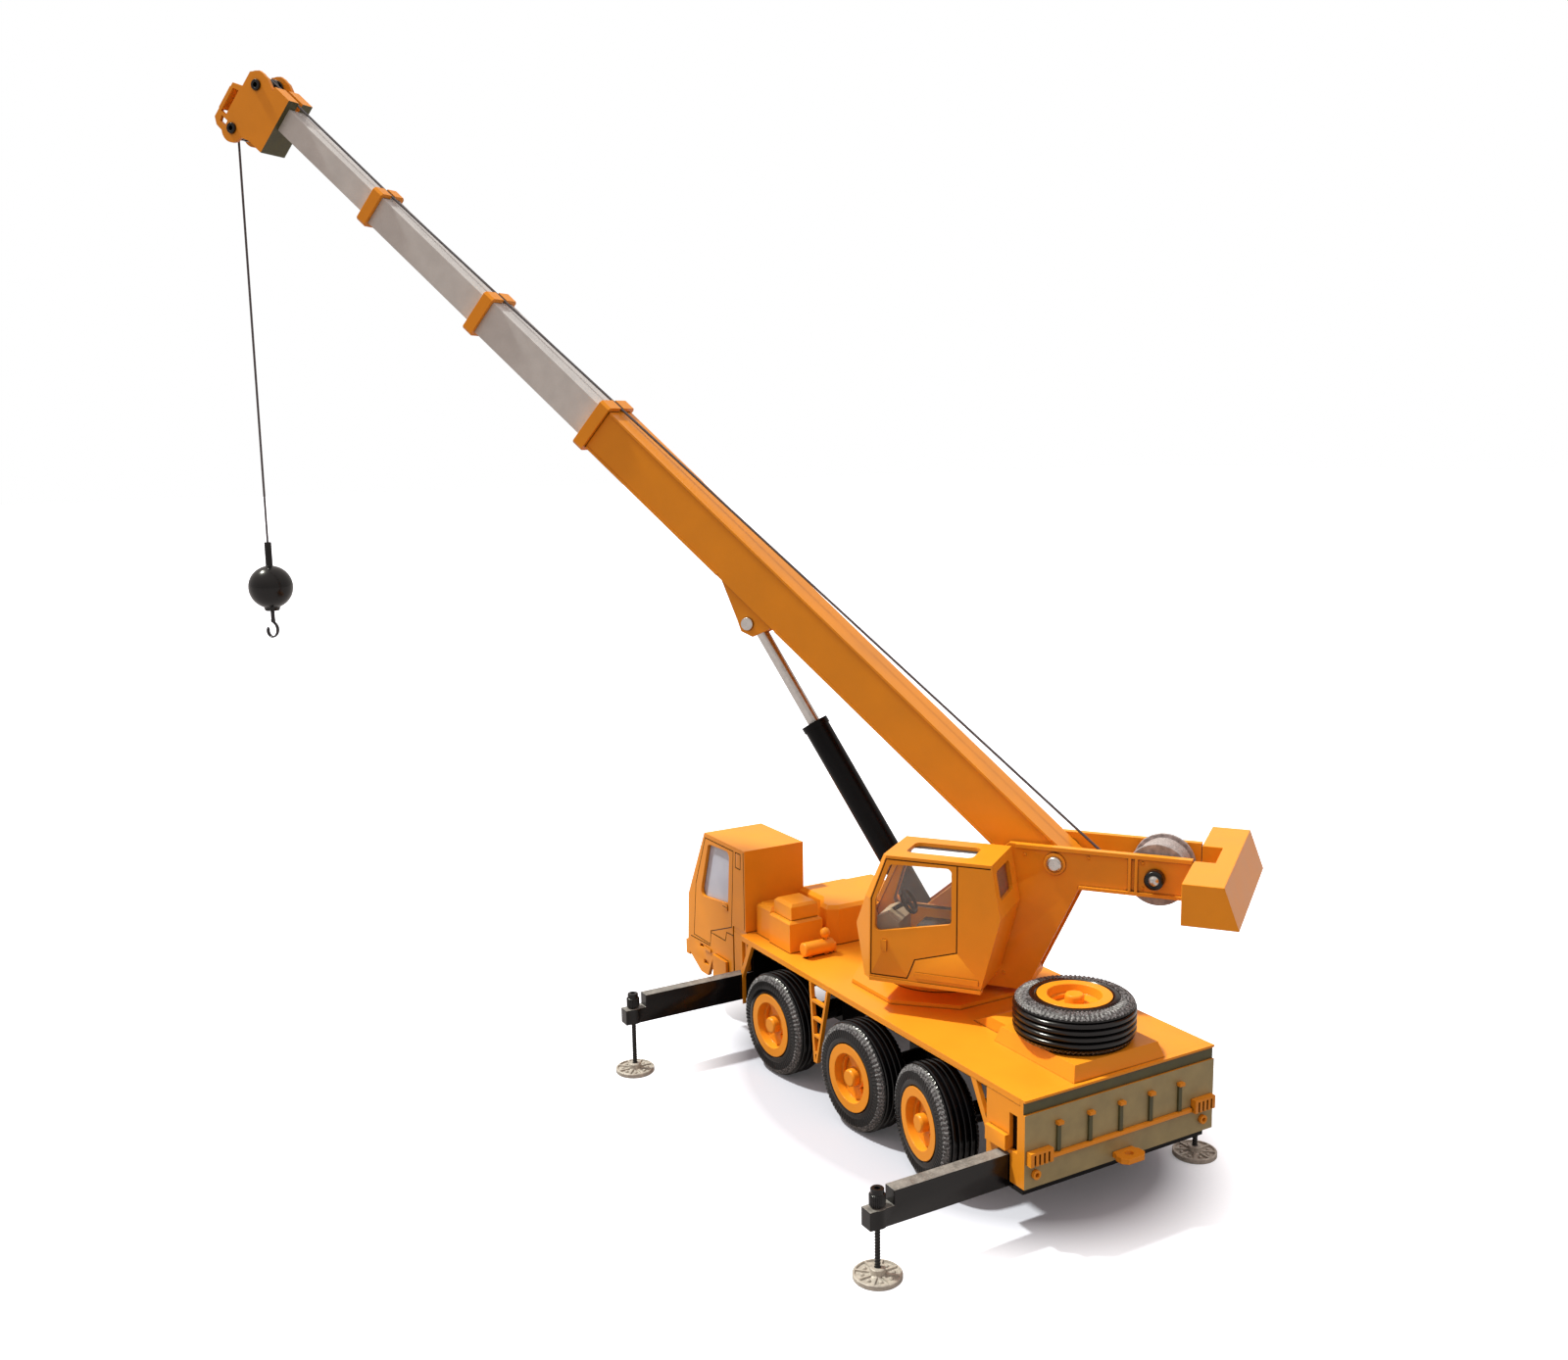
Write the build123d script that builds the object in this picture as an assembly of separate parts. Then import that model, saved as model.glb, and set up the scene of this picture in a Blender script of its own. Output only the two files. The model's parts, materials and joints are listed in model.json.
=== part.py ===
"""A 1:50 die-cast toy of a three-axle telescopic mobile crane, in millimetres.

The frame: +X is the front of the carrier, +Y its left side, +Z up. The origin is on the ground
under the slewing axis. The crane stands as it is put on show: all tyres and pads on the ground,
turned to its left, boom raised and drawn out, and only the left outriggers slid out.

The crane's own parts are drawn straight ahead and turned with on_crane; the boom's parts are drawn
lying along +X from its pivot, at height 0, and placed with on_boom.
"""

from build123d import *
from math import asin, atan2, cos, degrees, hypot, pi, radians, sin
import os

os.makedirs("parts", exist_ok=True)

# ---------------------------------------------------------------- clearances
RUN = 0.05            # radial clearance of a running fit
SLIDE = 0.2           # clearance on each side of a sliding beam or boom section
AIR = 0.4             # gap between parts that only pass each other

SEAM = 0.28           # width of door gaps and panel lines
SEAM_DEPTH = 0.35

# ---------------------------------------------------------------- carrier
HALF_WIDTH = 25.0     # half the width of the deck
DECK_TOP = 30.0
DECK_PLATE = 1.4      # thickness of the deck plate
DECK_REAR = -62.0     # back of the rear panel
DECK_FRONT = 51.0     # front end of the wide deck, where the drive cab starts
NOSE_X = 84.7         # front of the drive cab
SKIRT = 1.0           # thickness of the side walls
SKIRT_LOW = 11.8      # lower edge of the side walls and of the rear panel
PANEL = 1.5           # thickness of the rear panel
SPINE_HALF = 8.0
SPINE_LOW = 15.8

# ---------------------------------------------------------------- wheels
TYRE_R = 12.6
TYRE_W = 8.6
WHEEL_OUT = HALF_WIDTH + 2.2    # outer face of a tyre from the carrier's middle
RIM_R = 7.75          # visible edge of the rim
RIM_SEAT_R = 7.1      # barrel of the rim inside the tyre
RIM_LIP = 0.8
AXLE_R = 1.2
AXLES = {"front": (34.2, 3.5), "middle": (-2.0, 2.5), "rear": (-33.3, -8.0)}  # place, steering angle
PIVOT_R = 1.6
CARRIER_HALF_L = 3.2
CARRIER_HALF_W = 7.5

# ---------------------------------------------------------------- outriggers
BEAM_W = 3.2
BEAM_H = 6.8
BEAM_L = 52.0
BEAM_STEP = 3.0       # height of the step at the beam's end
BEAM_STEP_L = 5.4
BEAM_LOW = {"rear": 10.6, "front": 12.8}
BEAM_X = {("rear", "left"): -55.8, ("rear", "right"): -52.2,
          ("front", "left"): 52.2, ("front", "right"): 55.8}
REACH_OUT = 54.7      # jack from the middle, beam slid out
REACH_IN = HALF_WIDTH + 5.5     # jack from the middle, beam slid in
JACK_TO_END = 2.6     # jack to the beam's outer end
SCREW_R = 0.6
CAP_R = 1.6
CAP_H = 3.4
PAD_R = 4.75
PAD_H = 1.1
PAD_HUB_R = 1.5
PAD_HUB_TOP = 2.2
BOX_WALL = 0.6
BOX_X = {"rear": (-60.4, -50.2), "front": (50.1, 57.9)}

# ---------------------------------------------------------------- spare wheel
PLINTH = (-61.0, -36.0, 12.0)   # back, front, half width of its foot
PLINTH_TOP = DECK_TOP + 3.2
SPARE = (-47.8, 0.6)

# ---------------------------------------------------------------- boom's outer section
BASE_W, BASE_H, BASE_WALL = 10.2, 10.8, 0.75

# ---------------------------------------------------------------- slewing
SLEW = 36.5           # degrees to the left
RING_R = 12.5
RING_RISE = 1.2       # height of the ring above the platform
PLATFORM_R = 20.5
PLATFORM_TOP = DECK_TOP + 1.0
RING_TOP = PLATFORM_TOP + RING_RISE
KING_R = 2.5
TABLE_LOW = RING_TOP + AIR
TABLE_TOP = TABLE_LOW + 1.8
CHEEK_IN = BASE_W / 2 + 1.1     # inner face of the turntable's side plates
CHEEK = 1.2           # their thickness
ARM_TOP = 66.2
ARM_LOW = 57.2
ARM_BACK = -57.9

# ---------------------------------------------------------------- counterweight
WEIGHT_FRONT = -58.0
WEIGHT_TOP = 65.7
WEIGHT_LOW = 56.9
WEIGHT_HALF = 23.4
WEIGHT_BACK_TOP = -66.3
WEIGHT_BACK_LOW = -69.5
NOTCH_BACK = -62.4

# ---------------------------------------------------------------- crane cab
CAB_IN = CHEEK_IN + CHEEK + 1.2 # side next to the boom
CAB_OUT = HALF_WIDTH
CAB_WALL = 0.9
CAB_ROOF = 65.8
CAB_FLOOR = 37.5

# ---------------------------------------------------------------- boom
PIVOT = (-28.7, 62.4)
ELEVATION = 41.3
AXIS = -2.7           # the boom's middle line, below its pivot
PIN_R = 1.4
THIN_WALL = 0.55
BASE_BACK = -4.0
BASE_END = 149.5
SHOWN = 41.5          # bare length of each drawn-out section
SECTION_L = 128.0
TIP_SHOWN = 33.0
COLLAR_L = 2.4
COLLAR_T = 1.05
MOUTH = 0.15          # clearance of a collar around the next section
HEAD_BACK = BASE_END + 2 * SHOWN + TIP_SHOWN + 1.3
HEAD_SIDE = 1.6       # thickness of the head beside the tip section
HEAD_PLATE = 1.0
SHEAVE_UP = (HEAD_BACK + 10.8, -0.4)
SHEAVE_DOWN = (HEAD_BACK + 11.1, -13.6)
HEAD_PIN_R = 0.9
HEAD_LOBE_R = 3.5     # round ends of the head's plates about both pins
SHEAVE_R = 2.5
GROOVE_R = 1.7
LUG = (88.3, -11.4)   # upper pin of the luffing cylinder
LUG_HALF = BASE_W / 2 - 0.4
LUG_PLATE = 1.0

# ---------------------------------------------------------------- luffing cylinder
FOOT = (1.0, 41.0)    # its lower pivot, in the crane's frame
BARREL_R = 3.05
BARREL_L = 56.2
ROD_R = 1.5
EYE_W = 4.6
FOOT_EYE_R = 2.3
FOOT_PIN_R = 1.1

# ---------------------------------------------------------------- winch and rope
DRUM = (-50.3, 61.4)
FLANGE_R = 6.8
CORE_R = 3.2
WOUND_R = 6.0
DRUM_HALF = CHEEK_IN - 1.2
SHAFT_R = 1.0
KNOB_R = 2.1
SHAFT_END = CHEEK_IN + CHEEK + 1.9    # half the drum shaft's length, inside the knobs
KNOB_END = SHAFT_END + 0.7
ROPE_R = 0.3
GUIDE_H = (3.4, 2.5, 1.7)         # rope height at the three collars
LEAD_OVERLAP = 5.0
DROP = 107.0
BALL_R = 5.9
SOCKET_R = 0.95
SOCKET_L = 7.0


# ================================================================ helpers
def block(x0, x1, y0, y1, z0, z1):
    """A box between two corners."""
    return Pos((x0 + x1) / 2, (y0 + y1) / 2, (z0 + z1) / 2) * Box(abs(x1 - x0), abs(y1 - y0), abs(z1 - z0))


def outline(points):
    """A face in XY from a closed run of points."""
    return make_face(Polyline(*points, close=True))


def side(points, y0, y1):
    """A plate whose outline is given in X and Z, from y0 to y1."""
    return Pos(0, y1, 0) * Rot(90, 0, 0) * extrude(outline(points), y1 - y0)


def plan(points, z0, z1):
    """A plate whose outline is given in X and Y, from z0 to z1."""
    return Pos(0, 0, z0) * extrude(outline(points), z1 - z0)


def rod_y(x, z, r, y0, y1):
    """A cylinder along Y."""
    return Pos(x, (y0 + y1) / 2, z) * Rot(90, 0, 0) * Cylinder(r, y1 - y0)


def rod_z(x, y, r, z0, z1):
    """A cylinder along Z."""
    return Pos(x, y, (z0 + z1) / 2) * Cylinder(r, z1 - z0)


def rod_x(y, z, r, x0, x1):
    """A cylinder along X."""
    return Pos((x0 + x1) / 2, y, z) * Rot(0, 90, 0) * Cylinder(r, x1 - x0)


def rounded_quad(points, r, y0, y1):
    """A plate from four or more points in X and Z, its corners rounded."""
    flat = outline(points)
    return Pos(0, y1, 0) * Rot(90, 0, 0) * extrude(fillet(flat.vertices(), r), y1 - y0)


def groove(points, y, closed=False):
    """Thin blocks along a run of points in X and Z, to cut a seam into the face at y."""
    ends = points[1:] + points[:1] if closed else points[1:]
    cut = []
    for (xa, za), (xb, zb) in zip(points, ends):
        length, lean = hypot(xb - xa, zb - za), degrees(atan2(zb - za, xb - xa))
        middle = Pos((xa + xb) / 2, y, (za + zb) / 2)
        cut.append(middle * Rot(0, -lean, 0) * Box(length + SEAM, 2 * SEAM_DEPTH, SEAM))
    return cut


def on_crane(shape):
    """Turns a part drawn straight ahead to where the crane points."""
    return Rot(0, 0, SLEW) * shape


def on_boom(shape):
    """Places a part drawn along +X from the boom's pivot."""
    return on_crane(Pos(PIVOT[0], 0, PIVOT[1]) * Rot(0, -ELEVATION, 0) * shape)


def boom_to_crane(along, up):
    """A point of the boom, in the crane's X and Z."""
    c, s = cos(radians(ELEVATION)), sin(radians(ELEVATION))
    return PIVOT[0] + c * along - s * up, PIVOT[1] + s * along + c * up


def save(name, shape):
    """Writes one sub-part."""
    solids = shape.solids()
    kept = solids[0] if len(solids) == 1 else Compound(children=list(solids))
    export_step(kept, f"parts/{name}.step")


# ================================================================ carrier
def carrier_deck():
    """Deck plate with the spare wheel's plinth, its ramp and the eight-sided platform."""
    under = DECK_TOP - DECK_PLATE
    deck = block(DECK_REAR + PANEL, DECK_FRONT, -HALF_WIDTH, HALF_WIDTH, under, DECK_TOP)
    deck += block(DECK_FRONT, BOX_X["front"][1], -HALF_WIDTH + 1, HALF_WIDTH - 2, under, DECK_TOP)
    back, front, half = PLINTH
    foot = Plane.XY.offset(DECK_TOP) * Pos((back + front) / 2, 0) * Rectangle(front - back, 2 * half)
    deck += extrude(foot, PLINTH_TOP - DECK_TOP, taper=18)
    crest = PLINTH_TOP - 0.4
    ramp = [(front - 1.0, DECK_TOP), (front - 1.5, crest), (-31.0, crest), (-25.0, DECK_TOP)]
    deck += side(ramp, -8.0, 9.0)
    platform = Plane.XY.offset(DECK_TOP) * Rot(0, 0, 22.5) * RegularPolygon(PLATFORM_R, 8)
    deck += extrude(platform, PLATFORM_TOP - DECK_TOP)
    return deck - rod_z(0, 0, KING_R + RUN, under - 1, PLATFORM_TOP + 1)


def ladder(low, high):
    """One ladder between two Y values: rails that draw together downwards, and four rungs."""
    under = DECK_TOP - DECK_PLATE
    rails = side([(16.9, under), (16.1, under), (14.2, 9.3), (15.2, 9.3)], low, high)
    rails += side([(9.4, under), (8.6, under), (13.7, 9.3), (14.5, 9.3)], low, high)
    for z in (24.4, 20.2, 16.0, 11.8):
        share = (under - z) / (under - 9.3)
        rails += block(8.9 + 5.1 * share, 16.4 - 1.6 * share, low, high, z - 0.35, z + 0.35)
    return rails


def deck_sides():
    """Walls beside both outrigger boxes with their braces, and the ladders, all under the deck's edge."""
    under = DECK_TOP - DECK_PLATE
    label = BEAM_LOW["rear"] + BEAM_H + 0.8
    pieces = []
    for hand in (-1, 1):
        edge = hand * HALF_WIDTH
        low, high = sorted((edge, hand * (HALF_WIDTH - SKIRT)))
        back = block(DECK_REAR + PANEL, BOX_X["rear"][1], low, high, SKIRT_LOW, under)
        back += side([(-46.8, under), (-45.0, under), (-50.3, 18.8), (-50.3, 21.6)], low, high)
        back -= block(-59.7, -57.4, edge - 3, edge + 3, 18.4, 26.0)
        back += block(-57.3, -51.0, edge, edge + hand, label, label + 3.2)
        front = block(BOX_X["front"][0], DECK_FRONT, low, high, SKIRT_LOW, under)
        front += side([(46.8, under), (45.0, under), (50.2, 18.8), (50.2, 21.6)], low, high)
        low, high = sorted((hand * (HALF_WIDTH - 2.0), hand * (HALF_WIDTH - 2.0 - SKIRT)))
        walls = [back, front, block(DECK_FRONT, BOX_X["front"][1], low, high, SKIRT_LOW, under)]
        for (end, name), x in BEAM_X.items():
            if (name == "left") == (hand > 0):
                bottom, room = BEAM_LOW[end], BEAM_W / 2 + SLIDE
                window = block(x - room, x + room, edge - 4, edge + 4, bottom - 3.0, bottom + BEAM_H + SLIDE)
                walls = [wall - window for wall in walls]
        low, high = sorted((hand * (HALF_WIDTH - 0.8), hand * (HALF_WIDTH + 0.2)))
        pieces += walls + [ladder(low, high)]
    return [solid for piece in pieces for solid in piece.solids()]


def front_deck():
    """The low deck to the right of the drive cab, where the boom lies on the road."""
    back = BOX_X["front"][1] + AIR
    shape = [(back, DECK_TOP), (77.5, DECK_TOP), (83.4, 26.5), (NOSE_X, 16.0)]
    shape += [(77.0, SKIRT_LOW), (back, SKIRT_LOW)]
    inner = [(back + 1, DECK_TOP - 1.2), (77.0, DECK_TOP - 1.2), (82.2, 25.9), (83.4, 16.6)]
    inner += [(83.0, 9.0), (back + 1, 9.0)]
    right, left = 1.5 - HALF_WIDTH, DRIVE_IN - 0.8
    deck = side(shape, right, left) - side(inner, right + 1.2, left - 1.2)
    deck += block(83.6, 85.6, right, left, 14.5, 18.5)
    for y in (-19.5, -12.0):
        deck += block(83.2, 85.0, y - 2.4, y + 2.4, 20.0, 23.2)
    return deck


def underframe():
    """Spine of the chassis with both outrigger boxes and the bores of the steering axles."""
    top = DECK_TOP - DECK_PLATE
    frame = block(BOX_X["rear"][1], BOX_X["front"][0], -SPINE_HALF, SPINE_HALF, SPINE_LOW, top)
    frame -= block(-28.5, 29.4, -SPINE_HALF + 1.2, SPINE_HALF - 1.2, SPINE_LOW + 6.5, top - 1.5)
    for end, (x0, x1) in BOX_X.items():
        low = BEAM_LOW[end] - SLIDE - BOX_WALL
        half = HALF_WIDTH - SKIRT - (2.2 if end == "front" else 0)
        frame += block(x0, x1, -half, half, low, top)
    for end, (x0, x1) in BOX_X.items():
        reach = [BEAM_X[end, "left"], BEAM_X[end, "right"]]
        low, high = BEAM_LOW[end] - SLIDE, BEAM_LOW[end] + BEAM_H + SLIDE
        frame -= block(min(reach) - BEAM_W / 2 - SLIDE, max(reach) + BEAM_W / 2 + SLIDE, -30, 30, low, high)
    for x, _ in AXLES.values():
        frame -= rod_z(x, 0, PIVOT_R + RUN, SPINE_LOW - 1, SPINE_LOW + 6.0)
    return frame - rod_z(0, 0, KING_R + RUN, top - 3.5, top + 1)


def rear_panel():
    """Upright panel at the back with ribs, lamp blocks and two bosses."""
    x1 = DECK_REAR + PANEL
    panel = block(DECK_REAR, x1, -HALF_WIDTH, HALF_WIDTH, SKIRT_LOW, DECK_TOP)
    panel -= block(DECK_REAR - 1, DECK_REAR + 0.5, -HALF_WIDTH - 1, HALF_WIDTH + 1, 27.0, DECK_TOP - 0.5)
    for i in range(-2, 3):
        y = 0.8 + 8.0 * i
        panel += block(DECK_REAR - 0.5, DECK_REAR + 0.2, y - 0.45, y + 0.45, 17.8, 24.0)
        panel += block(DECK_REAR - 1.1, DECK_REAR + 0.2, y - 0.7, y + 0.7, 23.6, 24.3)
    panel += block(DECK_REAR - 0.9, DECK_REAR + 0.2, -18.2, 19.2, 17.2, 18.0)
    for y0, y1 in ((19.0, 24.6), (-24.2, -18.6)):
        lamp = block(DECK_REAR - 1.5, DECK_REAR + 0.2, y0, y1, 16.9, 19.7)
        for i in range(4):
            y = y0 + 1.1 + i * 1.15
            lamp -= block(DECK_REAR - 2.0, DECK_REAR - 1.0, y - 0.22, y + 0.22, 16.5, 19.2)
        panel += lamp
    for y in (22.4, -21.8):
        panel += rod_x(y, 14.6, 0.95, DECK_REAR - 0.8, DECK_REAR + 0.2)
        panel -= rod_x(y, 14.6, 0.45, DECK_REAR - 1.0, DECK_REAR + 0.4)
    return panel


def tow_hitch():
    """Flat towing eye under the middle of the rear panel."""
    shape = [(-57.5, 2.6), (-63.0, 2.6), (-63.6, 3.1), (-65.2, 3.1), (-66.3, 2.0)]
    shape += [(x, -y) for x, y in reversed(shape)]
    hitch = plan(shape, 9.0, 10.2)
    return hitch - rod_z(-64.0, 0, 0.9, 8, 12)


def tow_hitch_at_panel():
    """The towing eye, with the foot that stands it on the rear panel's lower edge."""
    eye = Pos(0, 0, 3.6) * tow_hitch()
    eye -= block(-62.0, -50.0, -5, 5, 10, 16)
    return eye


def engine_cover():
    """Angular hood behind the drive cab."""
    shape = [(31.2, 7.6), (32.8, 10.4), (35.6, 10.4), (40.0, 7.6), (50.4, 7.6), (50.4, -15.0), (31.2, -15.0)]
    hood = plan(shape, DECK_TOP, 40.0)
    top = hood.faces().sort_by(Axis.Z)[-1]
    hood = chamfer(top.edges(), 0.9)
    hood -= block(32.2, 49.4, -14.0, 6.6, DECK_TOP - 1, 38.8)
    return hood


def equipment_boxes():
    """Stacked tool and battery boxes, and the air tank with its filler and pipe."""
    tall = block(33.2, 41.6, 12.6, 20.2, DECK_TOP, 41.8)
    tall = chamfer(tall.faces().sort_by(Axis.Z)[-1].edges(), 0.7)
    wide = block(32.0, 42.2, 12.0, 21.4, DECK_TOP, 37.8)
    wide = chamfer(wide.faces().sort_by(Axis.Z)[-1].edges(), 0.5)
    low = block(42.6, 49.6, 12.6, 20.8, DECK_TOP, 38.6)
    low = chamfer(low.faces().sort_by(Axis.Z)[-1].edges(), 1.0)
    ledge = block(41.6, 43.0, 13.4, 20.0, DECK_TOP, 36.4)
    boxes = tall + wide + low + ledge
    tank = rod_y(27.6, 32.1, 1.75, 12.0, 20.4)
    tank = fillet(tank.edges(), 0.45)
    tank += rod_z(27.6, 14.0, 0.55, 32.0, 35.0) + Pos(27.6, 14.0, 35.4) * Sphere(1.25)
    tank += block(26.9, 28.3, 18.0, 19.2, DECK_TOP, 31.0) + block(26.9, 28.3, 13.4, 14.6, DECK_TOP, 31.0)
    tank += rod_y(27.6, 32.1, 0.45, 11.3, 12.4) + Pos(27.6, 11.3, 32.1) * Sphere(0.45)
    tank += rod_z(27.6, 11.3, 0.45, DECK_TOP, 32.1)
    return Compound(children=[boxes.solids()[0], tank.solids()[0]])


# ---------------------------------------------------------------- drive cab
CAB_X = (51.3, 73.3, 83.6, NOSE_X)
DRIVE_IN, DRIVE_OUT = 5.8, HALF_WIDTH - 1.8
DRIVE_ROOF = 51.5


def drive_cab():
    """Half-width drive cab at the front left: a thin shell with window openings, open below."""
    back, roof_front, belt_front, nose = CAB_X
    step = BOX_X["front"][1] + AIR
    deck = DECK_TOP + 0.05
    shape = [(back, DRIVE_ROOF), (roof_front, DRIVE_ROOF), (belt_front, 32.1), (nose, 16.0)]
    shape += [(77.0, SKIRT_LOW), (step, SKIRT_LOW), (step, deck), (back, deck)]
    inner = [(back + 1, DRIVE_ROOF - 1), (roof_front - 0.6, DRIVE_ROOF - 1), (belt_front - 1.1, 31.9)]
    inner += [(nose - 1.1, 16.6), (nose - 1.6, 9.0), (step + 1, 9.0)]
    inner += [(step + 1, deck - 1), (back + 1, deck - 1)]
    cab = side(shape, DRIVE_IN, DRIVE_OUT) - side(inner, DRIVE_IN + 1, DRIVE_OUT - 1)
    window = [(59.4, 49.4), (71.2, 48.9), (76.6, 33.4), (60.6, 35.2)]
    cab -= rounded_quad(window, 1.6, DRIVE_OUT - 2, DRIVE_OUT + 1)
    cab -= rounded_quad(window, 1.6, DRIVE_IN - 1, DRIVE_IN + 2)
    lean = degrees(atan2(belt_front - roof_front, DRIVE_ROOF - 32.1))
    glass = Pos((roof_front + belt_front) / 2, (DRIVE_IN + DRIVE_OUT) / 2, 42.2) * Rot(0, -lean, 0)
    cab -= glass * Box(6, DRIVE_OUT - DRIVE_IN - 3.4, 15.5)
    cab -= side([(74.0, 10.0), (70.0, 17.5), (62.0, 17.5), (61.0, 10.0)], DRIVE_OUT - 2, DRIVE_OUT + 1)
    for y in (9.6, 19.4):
        cab += block(83.6, 85.6, y - 2.4, y + 2.4, 20.0, 23.2)
    cab += block(83.8, 85.8, DRIVE_IN, DRIVE_OUT, 14.5, 18.5)
    cab += block(61.0, 68.3, DRIVE_OUT - 0.2, DRIVE_OUT + 0.9, 13.2, 19.4)
    cab += block(60.7, 63.4, DRIVE_OUT - 0.2, DRIVE_OUT + 0.3, 33.4, 34.9)
    cab += block(70.6, 74.4, DRIVE_OUT - 0.2, DRIVE_OUT + 0.35, 18.9, 19.8)
    door = [(72.8, 50.2), (57.2, 50.2), (58.9, 29.4), (70.7, 25.0), (71.2, 21.2), (80.8, 21.2), (78.9, 36.2)]
    lines = groove(door, DRIVE_OUT, closed=True)
    lines += groove([(70.4, 24.6), (62.5, 24.7), (61.7, 27.2), (53.0, 27.6)], DRIVE_OUT)
    lines += groove([(82.6, 20.3), (71.2, 20.7)], DRIVE_OUT)
    lines += groove([(53.4, 50.2), (56.0, 50.2), (56.2, 46.2), (53.6, 46.2)], DRIVE_OUT, closed=True)
    lines += groove([(51.9, 50.9), (51.9, deck + 0.6)], DRIVE_OUT)
    lines.append(block(60.5, 63.6, DRIVE_OUT + 0.1, DRIVE_OUT + 1, 34.05, 34.25))
    for x0, x1, z0, z1 in ((74.8, 77.3, 18.9, 19.8), (72.6, 75.2, 14.7, 15.9)):
        lines.append(block(x0, x1, DRIVE_OUT - 0.6, DRIVE_OUT + 1, z0, z1))
    for cut in lines:
        cab -= cut
    return cab


def drive_cab_interior():
    """Floor, seat, dash and steering wheel of the drive cab."""
    floor = block(60.0, 82.6, DRIVE_IN + 1.05, DRIVE_OUT - 1.05, 22.0, 23.4)
    seat = block(61.5, 68.5, 10.0, 19.0, 23.4, 30.5)
    seat += side([(60.2, 30.0), (62.8, 30.0), (61.4, 42.0), (59.4, 42.0)], 10.0, 19.0)
    dash = side([(77.5, 23.4), (77.5, 31.5), (80.8, 31.5), (82.4, 23.4)], DRIVE_IN + 1.05, DRIVE_OUT - 1.05)
    column = Pos(75.6, 14.5, 32.3) * Rot(0, -50, 0)
    wheel = column * (Torus(2.6, 0.4) + Box(5.0, 0.7, 0.6)) + column * Pos(0, 0, -2.2) * Cylinder(0.45, 4.6)
    return floor + seat + dash + wheel


def drive_cab_glazing():
    """Panes of the drive cab: windscreen and both side windows."""
    back, roof_front, belt_front, nose = CAB_X
    window = [(58.6, 50.0), (71.4, 49.6), (77.4, 32.6), (59.8, 34.4)]
    panes = []
    for y in (DRIVE_OUT - 1.45, DRIVE_IN + 1.05):
        panes.append(rounded_quad(window, 1.8, y, y + 0.4).solids()[0])
    lean = degrees(atan2(belt_front - roof_front, DRIVE_ROOF - 32.1))
    place = Pos((roof_front + belt_front) / 2 - 1.5, (DRIVE_IN + DRIVE_OUT) / 2, 41.6) * Rot(0, -lean, 0)
    panes.append((place * Box(0.4, DRIVE_OUT - DRIVE_IN - 3.2, 16.4)).solids()[0])
    return Compound(children=panes)


# ---------------------------------------------------------------- wheels
def tyre():
    """A tyre lying about the Y axis, its outer face at y = 0."""
    half = TYRE_R - 1.6
    profile = [(RIM_SEAT_R + RUN, -0.9), (RIM_R + RUN, -0.9), (RIM_R + RUN, 0), (half, 0), (TYRE_R, -1.5)]
    profile += [(TYRE_R, 1.5 - TYRE_W), (half, -TYRE_W), (RIM_SEAT_R + RUN, -TYRE_W)]
    ring = revolve(outline(profile), Axis.Y, 360)
    return ring


def rim():
    """A rim about the Y axis, its outer edge at y = 0: lip, dish, hub and two kidney pockets."""
    profile = [(0, -2.6), (0, 0.1), (1.7, 0.1), (2.0, -0.3), (2.0, -1.9), (5.3, -1.9), (5.6, 0)]
    profile += [(RIM_R, 0), (RIM_R, -RIM_LIP), (RIM_SEAT_R, -RIM_LIP), (RIM_SEAT_R, 0.6 - TYRE_W)]
    profile += [(6.2, 0.6 - TYRE_W), (6.2, -3.4), (2.6, -3.4), (2.6, 1.6 - TYRE_W), (0, 1.6 - TYRE_W)]
    disc = revolve(outline(profile), Axis.Y, 360)
    pocket = revolve(outline([(2.7, -2.9), (4.7, -2.9), (4.7, 1), (2.7, 1)]), Axis.Y, 110)
    for turn in (-55, 125):
        disc -= Rot(0, turn, 0) * pocket
    return disc - rod_y(0, 0, AXLE_R, -TYRE_W - 1, -1.2)


def both_sides(piece):
    """A wheel piece on both ends of an axle, facing outwards."""
    left = Pos(0, WHEEL_OUT, 0) * piece
    return [left, Rot(0, 0, 180) * left]


def running_gear():
    """Three steering axle carriers, each with its rod, two rims and two tyres."""
    for name, (x, steer) in AXLES.items():
        place = Pos(x, 0, TYRE_R) * Rot(0, 0, steer)
        carrier = block(-CARRIER_HALF_L, CARRIER_HALF_L, -CARRIER_HALF_W, CARRIER_HALF_W, -2.9, 2.8)
        carrier += rod_z(0, 0, PIVOT_R, 2.8, SPINE_LOW - TYRE_R + 5.6)
        for y0, y1 in ((10.0 - WHEEL_OUT, -CARRIER_HALF_W), (CARRIER_HALF_W, WHEEL_OUT - 10.0)):
            carrier += rod_y(0, 0, 2.3, y0, y1)
        carrier -= rod_y(0, 0, AXLE_R + RUN, -WHEEL_OUT, WHEEL_OUT)
        save(f"axle_carrier_{name}", place * carrier)
        axle = rod_y(0, 0, AXLE_R, -WHEEL_OUT + 1.3, WHEEL_OUT - 1.3)
        wheels = [axle] + both_sides(rim())
        save(f"axle_and_rims_{name}", place * Compound(children=[s for w in wheels for s in w.solids()]))
        tyres = Compound(children=[s for t in both_sides(tyre()) for s in t.solids()])
        save(f"tyres_{name}", place * tyres)


def spare_wheel():
    """Spare wheel lying on the plinth."""
    place = Pos(SPARE[0], SPARE[1], PLINTH_TOP + TYRE_W) * Rot(90, 0, 0)
    save("spare_tyre", place * tyre())
    save("spare_rim", place * rim())


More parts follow.
